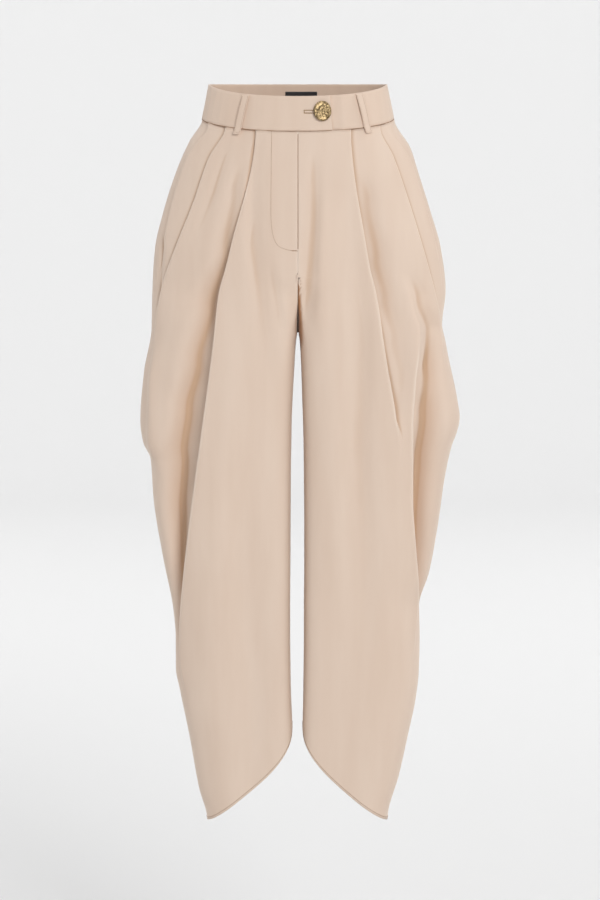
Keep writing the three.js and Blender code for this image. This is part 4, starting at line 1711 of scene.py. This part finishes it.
@dataclass
class ClothSurface:
    """Finds places on a piece of cloth by looking at it along the front-to-back axis."""

    pieces: list[Object]
    face: Face = Face.FRONT
    lift: float = 0.12

    def __post_init__(self) -> None:
        """Builds a search tree for each piece."""
        self.trees = []
        for piece in self.pieces:
            points = [v.co for v in piece.data.vertices]
            faces = [tuple(f.vertices) for f in piece.data.polygons]
            self.trees.append(BVHTree.FromPolygons(points, faces))

    def path(self, corners: list[tuple[float, float]], spacing: float = 2.0) -> Array:
        """Lays a line of (x, z) corners on the cloth.

        Args:
            corners: the line's corners in mm.
            spacing: how far apart its points are.

        Returns:
            Points (n, 3) in mm just above the cloth.
        """
        line = np.array(corners, dtype=float)
        along = np.concatenate([[0], np.cumsum(np.linalg.norm(np.diff(line, axis=0), axis=1))])
        places = np.linspace(0, along[-1], max(2, int(along[-1] / spacing) + 1))
        flat = np.stack([np.interp(places, along, line[:, k]) for k in range(2)], axis=1)
        points = []
        for x, z in flat:
            start = Vector((x * MM, self.face.value * 1.0, z * MM))
            hits = [tree.ray_cast(start, Vector((0, -self.face.value, 0)))[0] for tree in self.trees]
            near = [hit.y / MM for hit in hits if hit]
            if near:
                y = min(near) if self.face is Face.FRONT else max(near)
                points.append((x, y + self.face.value * self.lift, z))
        return np.array(points)


def smooth_line(corners: list[tuple[float, float]], steps: int = 8) -> list[tuple[float, float]]:
    """Rounds a line of corners.

    Args:
        corners: the points to pass.
        steps: points laid for each stretch.

    Returns:
        Points of a curve through the corners.
    """
    p = np.array([corners[0], *corners, corners[-1]], dtype=float)
    out = []
    for k in range(1, len(p) - 2):
        for t in np.linspace(0, 1, steps, endpoint=False):
            out.append(tuple(0.5 * (2 * p[k] + (p[k + 1] - p[k - 1]) * t
                             + (2 * p[k - 1] - 5 * p[k] + 4 * p[k + 1] - p[k + 2]) * t**2
                             + (3 * p[k] - p[k - 1] - 3 * p[k + 1] + p[k + 2]) * t**3)))
    return out + [tuple(p[-2])]


@dataclass(frozen=True)
class ClothFinish:
    """Smooth crepe: warm, softly sheened, with a fine weave, faint unevenness and painted shade and
    highlights.
    """

    name: str
    light: Colour
    shade: Colour
    valley_shade: Colour
    crest_highlight: Colour
    painted_fork_shade: Colour = (0.36, 0.165, 0.07)
    roughness: float = 0.62
    sheen: float = 0.35
    threads_per_mm: float = 1.7
    weave_height: float = 0.00006

    def material(self) -> Material:
        """Builds the cloth's material.

        Returns:
            A material that reads Object coordinates in metres.
        """
        material, nodes, links, shader = new_material(self.name)
        shader.inputs["Roughness"].default_value = self.roughness
        shader.inputs["Sheen Weight"].default_value = self.sheen
        shader.inputs["Sheen Roughness"].default_value = 0.45
        shader.inputs["Sheen Tint"].default_value = (1.0, 0.93, 0.86, 1.0)
        shader.inputs["Specular IOR Level"].default_value = 0.28
        place = nodes.new("ShaderNodeTexCoord").outputs["Object"]
        fleck = noise_node(nodes, links, place, 900.0, 2.0)
        tone = colour_mix(nodes, self.light, self.shade)
        links.new(sum_of(nodes, links, ((self.streaks(nodes, links, place), 0.45), (fleck, 0.25))),
                  tone.inputs["Factor"])
        # Painted shade: hollows between and beside folds are darkened towards the valley shade colour.
        shaded = colour_mix(nodes, self.light, self.valley_shade)
        links.new(tone.outputs["Result"], shaded.inputs["A"])
        links.new(self.valley_shade_amount(nodes, links), shaded.inputs["Factor"])
        # Painted highlight: fold edges are lightened towards the crest highlight colour.
        highlighted = colour_mix(nodes, self.light, self.crest_highlight)
        links.new(shaded.outputs["Result"], highlighted.inputs["A"])
        links.new(self.crest_highlight_amount(nodes, links), highlighted.inputs["Factor"])
        # Painted shade: the fork between the legs is darkened towards a deep brown.
        painted_fork_shade = colour_mix(nodes, self.light, self.painted_fork_shade)
        links.new(highlighted.outputs["Result"], painted_fork_shade.inputs["A"])
        links.new(sum_of(nodes, links, ((attribute(nodes, "fork_shade"), 1.0),)), painted_fork_shade.inputs["Factor"])
        links.new(painted_fork_shade.outputs["Result"], shader.inputs["Base Color"])
        self.add_weave(nodes, links, place, shader)
        return material

    def streaks(self, nodes: Nodes, links: Links, place: Socket) -> Socket:
        """Adds long soft lighter and darker patches that run down the cloth.

        Args:
            nodes: the material's nodes.
            links: its links.
            place: the coordinates to follow.

        Returns:
            Their strength, 0 to 1.
        """
        stretch = nodes.new("ShaderNodeMapping")
        stretch.inputs["Scale"].default_value = (1.0, 1.0, 0.12)
        links.new(place, stretch.inputs["Vector"])
        patches = noise_node(nodes, links, stretch.outputs["Vector"], 34.0, 3.0)
        ramp = nodes.new("ShaderNodeMapRange")
        ramp.inputs["From Min"].default_value = 0.3
        ramp.inputs["From Max"].default_value = 0.7
        links.new(patches, ramp.inputs["Value"])
        return ramp.outputs["Result"]

    def valley_shade_amount(self, nodes: Nodes, links: Links) -> Socket:
        """Finds how much painted shade a place gets from the folds beside it.

        Args:
            nodes: the material's nodes.
            links: its links.

        Returns:
            The amount, 0 to 1.
        """
        parts = []
        ramps = (("relief_fine", 0.02, 0.24, 0.75), ("relief_wide", 0.05, 0.7, 0.55),
                 ("relief_broad", -0.08, 0.42, 0.6))
        for label, low, high, weight in ramps:
            ramp = nodes.new("ShaderNodeMapRange")
            ramp.interpolation_type = "SMOOTHSTEP"
            ramp.inputs["From Min"].default_value = -low
            ramp.inputs["From Max"].default_value = -high
            links.new(attribute(nodes, label), ramp.inputs["Value"])
            parts.append((ramp.outputs["Result"], weight))
        return sum_of(nodes, links, parts)

    def crest_highlight_amount(self, nodes: Nodes, links: Links) -> Socket:
        """Finds how much painted highlight a place gets as the edge of a fold.

        Args:
            nodes: the material's nodes.
            links: its links.

        Returns:
            The amount, 0 to 1.
        """
        ramp = nodes.new("ShaderNodeMapRange")
        ramp.interpolation_type = "SMOOTHSTEP"
        ramp.inputs["From Min"].default_value = 0.1
        ramp.inputs["From Max"].default_value = 0.4
        links.new(attribute(nodes, "relief_edge"), ramp.inputs["Value"])
        return sum_of(nodes, links, ((ramp.outputs["Result"], 0.75),))

    def add_weave(self, nodes: Nodes, links: Links, place: Socket, shader: bpy.types.Node) -> None:
        """Adds the weave's fine ribs and the crepe's pebble as bump.

        Args:
            nodes: the material's nodes.
            links: its links.
            place: the coordinates to follow.
            shader: the surface shader.
        """
        ribs = nodes.new("ShaderNodeTexWave")
        ribs.wave_type = "BANDS"
        ribs.bands_direction = "DIAGONAL"
        ribs.inputs["Scale"].default_value = self.threads_per_mm * 1000 / (2 * math.pi)
        ribs.inputs["Distortion"].default_value = 1.5
        links.new(place, ribs.inputs["Vector"])
        pebble = noise_node(nodes, links, place, 1400.0, 2.0)
        join = nodes.new("ShaderNodeMath")
        join.operation = "ADD"
        links.new(ribs.outputs["Fac"], join.inputs[0])
        links.new(pebble, join.inputs[1])
        add_bump(nodes, links, shader, join.outputs[0], 0.275, self.weave_height)


def new_material(name: str) -> tuple[Material, Nodes, Links, bpy.types.Node]:
    """Makes a material with a node tree.

    Args:
        name: the material's name.

    Returns:
        The material, its nodes, its links and its surface shader.
    """
    material = bpy.data.materials.new(name)
    material.use_nodes = True
    tree = material.node_tree
    return material, tree.nodes, tree.links, tree.nodes["Principled BSDF"]


def add_bump(nodes: Nodes, links: Links, shader: bpy.types.Node,
             height: Socket, strength: float, distance: float) -> None:
    """Raises a finish's surface by a pattern.

    Args:
        nodes: the material's nodes.
        links: its links.
        shader: the surface shader.
        height: the pattern.
        strength: how strongly it shows.
        distance: its height in metres.
    """
    bump = nodes.new("ShaderNodeBump")
    bump.inputs["Strength"].default_value = strength
    bump.inputs["Distance"].default_value = distance
    links.new(height, bump.inputs["Height"])
    links.new(bump.outputs["Normal"], shader.inputs["Normal"])


def colour_mix(nodes: Nodes, first: Colour, second: Colour) -> bpy.types.Node:
    """Adds a mix of two colours.

    Args:
        nodes: the material's nodes.
        first: the colour at factor 0.
        second: the colour at factor 1.

    Returns:
        The mix node.
    """
    node = nodes.new("ShaderNodeMix")
    node.data_type = "RGBA"
    node.inputs["A"].default_value = (*first, 1.0)
    node.inputs["B"].default_value = (*second, 1.0)
    return node


def attribute(nodes: Nodes, label: str) -> Socket:
    """Reads one of the mesh's own attributes.

    Args:
        nodes: the material's nodes.
        label: the attribute's name.

    Returns:
        The socket with its value.
    """
    node = nodes.new("ShaderNodeAttribute")
    node.attribute_name = label
    return node.outputs["Fac"]


def sum_of(nodes: Nodes, links: Links, parts: tuple[tuple[Socket, float], ...]) -> Socket:
    """Adds weighted values, held between 0 and 1.

    Args:
        nodes: the material's nodes.
        links: its links.
        parts: sockets with their weights.

    Returns:
        The sum's socket.
    """
    total = None
    for value, weight in parts:
        step = nodes.new("ShaderNodeMath")
        step.operation = "MULTIPLY_ADD"
        step.use_clamp = True
        step.inputs[1].default_value = weight
        step.inputs[2].default_value = 0.0
        links.new(value, step.inputs[0])
        if total:
            links.new(total, step.inputs[2])
        total = step.outputs[0]
    return total


def noise_node(nodes: Nodes, links: Links, place: Socket, scale: float, detail: float) -> Socket:
    """Adds a noise texture.

    Args:
        nodes: the material's nodes.
        links: its links.
        place: the coordinates to follow.
        scale: cells for each metre.
        detail: octaves.

    Returns:
        The texture's factor socket.
    """
    texture = nodes.new("ShaderNodeTexNoise")
    texture.inputs["Scale"].default_value = scale
    texture.inputs["Detail"].default_value = detail
    links.new(place, texture.inputs["Vector"])
    return texture.outputs["Fac"]


@dataclass
class Studio:
    """Pale sweep, soft lights and the camera in front of the trousers."""

    distance: float = 4.5
    elevation: float = 6.8
    aim: tuple[float, float, float] = (0.003, 0.0, -0.5181)
    lens: float = 120.8
    floor_z: float = -1.5
    sweep_front: float = -14.0
    sweep_back: float = 6.5
    sweep_radius: float = 2.5
    sweep_top: float = 14.0
    sweep_half: float = 16.0
    sweep_steps: int = 24
    backdrop: Colour = (0.79, 0.79, 0.79)

    def build(self) -> None:
        """Adds the sweep, the lights and the camera."""
        self.add_sweep()
        self.add_lights()
        self.add_camera()

    def add_camera(self) -> None:
        """Places the camera at the photograph's viewing angle."""
        camera = bpy.data.cameras.new("camera")
        camera.lens = self.lens
        camera.sensor_width = 36.0
        camera.clip_end = 100.0
        obj = bpy.data.objects.new("camera", camera)
        lift = math.radians(self.elevation)
        aim = Vector(self.aim)
        obj.location = aim + Vector((0, -math.cos(lift), math.sin(lift))) * self.distance
        obj.rotation_euler = (math.pi / 2 - lift, 0, 0)
        bpy.context.scene.collection.objects.link(obj)
        bpy.context.scene.camera = obj

    def add_sweep(self) -> None:
        """Adds a floor that curves up into a backdrop, far from the cloth."""
        side = [(self.sweep_front, self.floor_z)]
        for k in range(self.sweep_steps + 1):
            turn = math.pi / 2 * k / self.sweep_steps
            along = self.sweep_back + self.sweep_radius * math.sin(turn)
            side.append((along, self.floor_z + self.sweep_radius * (1 - math.cos(turn))))
        side.append((self.sweep_back + self.sweep_radius, self.sweep_top))
        edges = (-self.sweep_half, self.sweep_half)
        points = np.array([[x, y, z] for y, z in side for x in edges]) / MM
        faces = [(2 * i, 2 * i + 1, 2 * i + 3, 2 * i + 2) for i in range(len(side) - 1)]
        sweep = mesh_object("sweep", points, faces)
        material, _, _, shader = new_material("pale_paper")
        shader.inputs["Base Color"].default_value = (*self.backdrop, 1.0)
        shader.inputs["Roughness"].default_value = 0.9
        sweep.data.materials.append(material)

    def add_lights(self) -> None:
        """Adds the room's even light and six soft boxes."""
        scene = bpy.context.scene
        scene.view_settings.view_transform = "Standard"
        world = bpy.data.worlds.new("room")
        world.use_nodes = True
        world.node_tree.nodes["Background"].inputs["Color"].default_value = (1, 1, 1, 1)
        world.node_tree.nodes["Background"].inputs["Strength"].default_value = 0.27
        scene.world = world
        self.soft_box("key", (1.5, -4.0, 1.4), 1.5, 110.0)
        self.soft_box("fill", (-2.4, -4.0, -0.3), 2.0, 20.0)
        self.soft_box("floor_left", (-3.6, 0.8, 2.8), 2.0, 88.0, (-0.5, 3.0, -1.5))
        self.soft_box("floor_right", (3.6, 0.8, 2.8), 2.0, 88.0, (0.5, 3.0, -1.5))
        self.soft_box("sweep_left", (-3.8, 4.2, 3.2), 2.4, 135.0, (-0.5, 8.0, -0.5))
        self.soft_box("sweep_right", (3.8, 4.2, 3.2), 2.4, 135.0, (0.5, 8.0, -0.5))

    def soft_box(self, name: str, place: tuple[float, float, float], size: float, power: float,
                 aim: tuple[float, float, float] | None = None) -> None:
        """Adds one soft box.

        Args:
            name: the light's name.
            place: where it stands, in metres.
            size: its edge.
            power: its watts.
            aim: what it looks at, the middle of the trousers if not given.
        """
        light = bpy.data.lights.new(name, "AREA")
        light.size = size
        light.energy = power
        obj = bpy.data.objects.new(name, light)
        obj.location = place
        target = Vector(aim or self.aim)
        obj.rotation_euler = (target - Vector(place)).to_track_quat("-Z", "Y").to_euler()
        bpy.context.scene.collection.objects.link(obj)


@dataclass
class LabelPatch:
    """The bare ribbon sewn inside the back of the band."""

    centre: float = 5.0
    half_width: float = 24.5
    top: float = 12.0
    bottom: float = -21.0
    wall: float = 0.7
    pucker: float = 0.25
    pucker_reach: float = 3.0
    ripple: float = 1.3
    rest: float = -0.1
    stitch_inset: float = 1.6

    def point(self, x: float, z: float, off: float = 0.0) -> Array:
        """Finds a place on the ribbon.

        Args:
            x: distance from the ribbon's middle.
            z: its height.
            off: distance in front of its wall's middle.

        Returns:
            The point in mm.
        """
        angle = np.array(math.pi - band_angle(self.centre + x))
        down = np.array((BAND_TOP_BACK - z) / BAND_HEIGHT)
        return band_point(angle, down, BAND_WALL / 2 + 0.2 + self.wall / 2 + off)

    def build(self) -> Object:
        """Builds the ribbon.

        Returns:
            The finished piece, its ends drawn in slightly by their stitches.
        """
        grid = []
        for z in np.linspace(self.top, self.bottom, 24):
            row = []
            for x in np.linspace(-self.half_width, self.half_width, 50):
                near_end = math.exp(-((self.half_width - abs(x)) / self.pucker_reach) ** 2)
                row.append(self.point(x, z, self.rest + self.pucker * near_end * math.sin(z * self.ripple)))
            grid.append(row)
        return shell_object("label_ribbon", np.array(grid), self.wall)

    def stitch_paths(self) -> list[Array]:
        """Lays out the stitches.

        Returns:
            One row down each end.
        """
        rows = []
        for x in (self.stitch_inset - self.half_width, self.half_width - self.stitch_inset):
            rows.append(np.array([self.point(x, z, self.wall / 2 + 0.15)
                                  for z in np.linspace(self.top - 1.5, self.bottom + 1.5, 20)]))
        return rows


@dataclass
class Buttonhole:
    """The worked slot in the tab: two dense rows of thread and a bar at its outer end."""

    z: float = -16.4
    left: float = 9.4
    right: float = 24.0
    half: float = 2.0
    lift: float = 0.35
    bar_out: float = 0.4
    bar_over: float = 0.5

    def row(self, start: tuple[float, float], end: tuple[float, float]) -> Array:
        """Lays a straight run of points on the tab.

        Args:
            start: its first (x, z) place.
            end: its last one.

        Returns:
            Points (n, 3) in mm.
        """
        points = []
        for t in np.linspace(0, 1, 12):
            x, z = mix(start[0], end[0], t), mix(start[1], end[1], t)
            angle = band_angle(x)
            top = float(band_point(np.array(angle), np.array(0.0), 0.0)[2])
            down = (top - z) / BAND_HEIGHT
            here = BandFrame.at(angle, down)
            points.append(here.place + here.outward * (BAND_WALL / 2 + self.lift))
        return np.array(points)

    def edge_paths(self) -> list[Array]:
        """Returns the two long rows."""
        return [self.row((self.left, self.z + side * self.half), (self.right, self.z + side * self.half))
                for side in (-1, 1)]

    def bar_paths(self) -> list[Array]:
        """Returns the bar that closes the outer end."""
        x, half = self.left - self.bar_out, self.half + self.bar_over
        return [self.row((x, self.z - half), (x, self.z + half))]


@dataclass(frozen=True)
class Cut:
    """The flat size of a piece before sewing, in metres, and how much of that box it fills."""

    width: float
    length: float
    filled: float = 1.0

    def declare(self, obj: Object, held: str, rests_on: tuple[str, ...] = ()) -> None:
        """Does nothing: the piece is not marked as a sheet of cloth of this cut.

        Args:
            obj: the piece; not used.
            held: how it is held; not used.
            rests_on: what it hangs from or lies on; not used.
        """


CUTS = {
    "front": Cut(0.40, 1.09, 0.76),
    "back": Cut(0.39, 1.09, 0.73),
    "band_front_right": Cut(0.236, 0.052),
    "band_front_left": Cut(0.186, 0.052),
    "band_back": Cut(0.370, 0.052),
    "belt": Cut(0.0595, 0.0106),
    "fly_shield": Cut(0.047, 0.184),
    "zip_tape": Cut(0.027, 0.160),
    "label": Cut(0.049, 0.033),
}


@dataclass
class Trousers:
    """All the pieces, built from the waist down."""

    cloth: ClothFinish = field(default_factory=lambda: ClothFinish(
        "beige_crepe", light=(0.760, 0.612, 0.503), shade=(0.690, 0.528, 0.418),
        valley_shade=(0.585, 0.395, 0.265), crest_highlight=(0.84, 0.71, 0.60)))
    thread: ThreadFinish = field(default_factory=lambda: ThreadFinish(
        "matching_thread", (0.43, 0.25, 0.13)))
    # Dark thread for the hem and the fly's bar tack, also laid as painted shadow lines along the fly's edge
    # and under the band.
    dark_thread_and_shadow_line: ThreadFinish = field(default_factory=lambda: ThreadFinish(
        "hem_thread_and_shadow_line", (0.36, 0.17, 0.07)))
    gold_thread: ThreadFinish = field(default_factory=lambda: ThreadFinish(
        "buttonhole_thread", (0.46, 0.30, 0.15)))
    gold: MetalFinish = field(default_factory=lambda: MetalFinish(
        "old_gold", (0.50, 0.37, 0.20), (0.09, 0.06, 0.03)))
    fork_drop: float = 9.0
    fork_half: float = 3.0
    fork_thin: float = 0.6
    fork_inside: float = 0.96
    fly_line: tuple[tuple[float, float], ...] = (
        (-38.0, -45.0), (-38.6, -100.0), (-39.0, -161.0), (-37.5, -185.0), (-34.0, -200.0),
        (-27.0, -210.0), (-14.0, -215.0), (-1.0, -216.5),
    )

    def finish_piece(self, obj: Object, material: Material,
                     replaced: tuple[str, ...] = ()) -> Object:
        """Dresses a piece and ties it to the frame.

        Args:
            obj: the piece.
            material: its finish.
            replaced: CAD nodes that it stands for.

        Returns:
            The same piece.
        """
        obj.data.materials.clear()
        obj.data.materials.append(material)
        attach(obj, "root")
        if replaced:
            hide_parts(*replaced)
        LOG.info("%s: %d faces", obj.name, len(obj.data.polygons))
        return obj

    def build(self) -> None:
        """Builds and dresses every piece."""
        cloth = self.cloth.material()
        bands = self.add_bands(cloth)
        panels = self.add_panels(cloth, bands)
        self.add_loops(cloth, bands)
        self.add_fly(cloth, panels, bands)
        self.add_seat_seam()
        self.add_waist_seam()
        self.add_label()
        self.add_metal()

    def add_panels(self, cloth: Material, bands: tuple[str, ...]) -> dict[str, Object]:
        """Adds the four leg panels and their hem stitches.

        Args:
            cloth: the cloth's material.
            bands: the names of the band pieces that they hang from.

        Returns:
            The panels by node name.
        """
        panels, hems = {}, []
        for leg in (RIGHT_LEG, LEFT_LEG):
            for face in Face:
                panel = LegPanel(leg, face)
                made = self.finish_piece(panel.build(), cloth, (panel.name,))
                CUTS[face.name.lower()].declare(made, "hung", bands)
                panels[panel.name] = made
                hems.append(panel.hem_path())
        run = StitchRun("hem_stitches", pitch=1.7, length=1.75, radius=0.36, seed=3)
        thread = self.dark_thread_and_shadow_line.material()
        self.finish_piece(run.lay(hems, thread), thread)
        return panels

    def add_bands(self, cloth: Material) -> tuple[str, ...]:
        """Adds the waistband's three pieces.

        Args:
            cloth: the cloth's material.

        Returns:
            The names of the band pieces.
        """
        side = math.pi / 2
        bands = (
            BandPiece("band_front_right", -side + 0.002, band_angle(TAB_END_X), 120),
            BandPiece("band_front_left", band_angle(UNDERLAP_END_X), side - 0.002, 90, underlap=True),
            BandPiece("band_back", side + 0.002, 3 * side - 0.002, 140),
        )
        made = []
        for band in bands:
            obj = self.finish_piece(band.build(), cloth, (band.name,))
            CUTS[band.name].declare(obj, "stretched")
            made.append(obj.name)
        return tuple(made)

    def add_seat_seam(self) -> None:
        """Adds the thread that closes the centre seam, under the crotch and up the back, and a dark thread
        line along the fly's edge as painted shadow.
        """
        front = LegPanel(RIGHT_LEG, Face.FRONT).centre_line()
        back = LegPanel(RIGHT_LEG, Face.BACK).centre_line()
        thread = self.dark_thread_and_shadow_line.material()
        seam = StitchRun("seat_seam_and_fly_shadow_stitches", pitch=1.0, length=1.7, radius=0.55, seed=23)
        # Painted shadow: a row of dark thread laid just in front of the seam along the fly's edge.
        edge = front[(front[:, 2] > self.fly_line[-1][1]) & (front[:, 2] < WAIST_LEVEL)]
        self.finish_piece(seam.lay([front, back, edge - (0.0, 0.75, 0.0)], thread), thread)
        self.add_fork(np.concatenate([front[front[:, 2] < FORK_TOP], back[::-1]]))

    def add_fork(self, line: Array) -> None:
        """Adds the pressed seam turnings that fill the fork between the legs, coloured dark brown as
        painted shade.

        Args:
            line: the centre seam's points from the front over the crotch to the back.
        """
        low = np.clip((FORK_TOP - line[:, 2]) / (FORK_TOP - CROTCH_Z), 0.0, 1.0)
        inside = line * (1, self.fork_inside, 1) - np.outer(self.fork_drop * low**6, (0.0, 0.0, 1.0))
        along = np.gradient(inside, axis=0)
        along = along / np.linalg.norm(along, axis=1, keepdims=True)
        across = np.cross(along, (1.0, 0.0, 0.0))
        turn = np.linspace(0, 2 * math.pi, 16, endpoint=False)
        half = mix(self.fork_thin, self.fork_half, low**3)[:, None]
        rings = inside[:, None, :] + across[:, None, :] * np.sin(turn)[None, :, None]
        rings[:, :, 0] += half * np.cos(turn)[None, :]
        # The turnings take the deep brown of the painted fork shade, as painted shade.
        shaded = ClothFinish("painted_shade_turning", light=self.cloth.painted_fork_shade, shade=(0.30, 0.14, 0.06),
                             valley_shade=(0.25, 0.11, 0.05), crest_highlight=(0.46, 0.24, 0.12))
        self.finish_piece(tube_object("fork_turning", rings), shaded.material())

    def add_waist_seam(self) -> None:
        """Adds the thread in the seam under the band: a fine dark line, real stitching and painted seam
        shadow both.
        """
        thread = self.dark_thread_and_shadow_line.material()
        ends = ((-math.pi / 2, band_angle(TAB_END_X - 1.5)),
                (band_angle(TAB_END_X + 4.0), math.pi / 2),
                (math.pi / 2, 3 * math.pi / 2))
        paths = []
        for start, end in ends:
            turn = np.linspace(start, end, 120)
            low = np.full_like(turn, 1.0 + 0.25 / BAND_HEIGHT)
            paths.append(band_point(turn, low, 0.0) + band_outward(turn, low) * (BAND_WALL / 2 - 0.2))
        # Painted shadow: this dark line stands in partly for the shadow of the seam under the band.
        run = StitchRun("waist_seam_stitches_and_shadow_line", pitch=1.0, length=1.5, radius=0.42, seed=19)
        self.finish_piece(run.lay(paths, thread), thread)

    def add_loops(self, cloth: Material, bands: tuple[str, ...]) -> None:
        """Adds the five belt loops and their stitches.

        Args:
            cloth: the cloth's material.
            bands: the names of the band pieces that they are sewn to.
        """
        paths = []
        for loop in (
            BeltLoop("belt_loop_front_right", -80.0, True),
            BeltLoop("belt_loop_front_left", 93.0, True),
            BeltLoop("belt_loop_back_right", -78.0, False),
            BeltLoop("belt_loop_back_left", 78.0, False),
            BeltLoop("belt_loop_back_centre", 0.0, False),
        ):
            obj = self.finish_piece(loop.build(), cloth, (loop.name,))
            CUTS["belt"].declare(obj, "stretched", bands)
            paths += loop.stitch_paths()
        run = StitchRun("loop_stitches", pitch=1.9, length=1.6, radius=0.17, seed=5)
        thread = self.thread.material()
        self.finish_piece(run.lay(paths, thread), thread)

    def add_fly(self, cloth: Material, panels: dict[str, Object], bands: tuple[str, ...]) -> None:
        """Adds the fly's shield, tape and stitches, and the buttonhole.

        Args:
            cloth: the cloth's material.
            panels: the leg panels.
            bands: the names of the band pieces.
        """
        shield = FlyLayer("fly_shield", -24.0, 22.0, -31.0, -214.0, 5.9, 1.2)
        tape = FlyLayer("zip_tape", -13.0, 13.0, -47.0, -206.0, 4.3, 0.8)
        woven = WovenFinish("zip_weave", (0.46, 0.35, 0.27), 1.1).material()
        for layer, finish, slot in ((shield, cloth, Slot.CLOTH), (tape, woven, Slot.ZIP_TAPE)):
            obj = self.finish_piece(layer.build(), finish, (layer.name,))
            CUTS[layer.name].declare(obj, "hung", bands)
        thread = self.thread.material()
        surface = ClothSurface([panels["front_right"]])
        line = surface.path(smooth_line(list(self.fly_line)))
        tack = surface.path([(-9.0, self.fly_line[-1][1] + 0.6), (-1.2, self.fly_line[-1][1] + 0.4)], 0.8)
        run = StitchRun("fly_stitches", pitch=2.5, length=2.3, radius=0.3, seed=7)
        self.finish_piece(run.lay([line], thread), thread)
        dark = self.dark_thread_and_shadow_line.material()
        bar = StitchRun("fly_bar_tack", pitch=0.7, length=1.6, radius=0.3, across=True, seed=29)
        self.finish_piece(bar.lay([tack], dark), dark)
        gold = self.gold_thread.material()
        hole = Buttonhole()
        dense = StitchRun("buttonhole_edges", pitch=0.42, length=1.5, radius=0.24, across=True, seed=9)
        self.finish_piece(dense.lay(hole.edge_paths(), gold), gold)
        bar = StitchRun("buttonhole_bar", pitch=0.4, length=1.5, radius=0.24, across=True, seed=13)
        self.finish_piece(bar.lay(hole.bar_paths(), gold), gold)

    def add_label(self) -> None:
        """Adds the bare ribbon inside the back of the band."""
        patch = LabelPatch()
        satin = WovenFinish("black_satin", (0.012, 0.012, 0.014), 2.2, roughness=0.38, sheen=0.1)
        obj = self.finish_piece(patch.build(), satin.material(), ("label",))
        CUTS["label"].declare(obj, "laid", ("band_back_cloth",))
        black = ThreadFinish("black_thread", (0.02, 0.02, 0.022)).material()
        run = StitchRun("label_stitches", pitch=1.8, length=1.5, radius=0.16, seed=17)
        self.finish_piece(run.lay(patch.stitch_paths(), black), black)

    def add_metal(self) -> None:
        """Adds the button and dresses its shank and the slider."""
        gold = self.gold.material()
        self.finish_piece(GoldButton().build(), gold, ("button",))
        for name in ("button_shank", "zip_slider"):
            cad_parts[name].data.materials.clear()
            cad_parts[name].data.materials.append(gold)


def main() -> None:
    """Builds the studio and the trousers."""
    logging.basicConfig(level=logging.INFO, format="%(name)s %(message)s")
    Studio().build()
    Trousers().build()


if __name__ == "__main__":
    main()
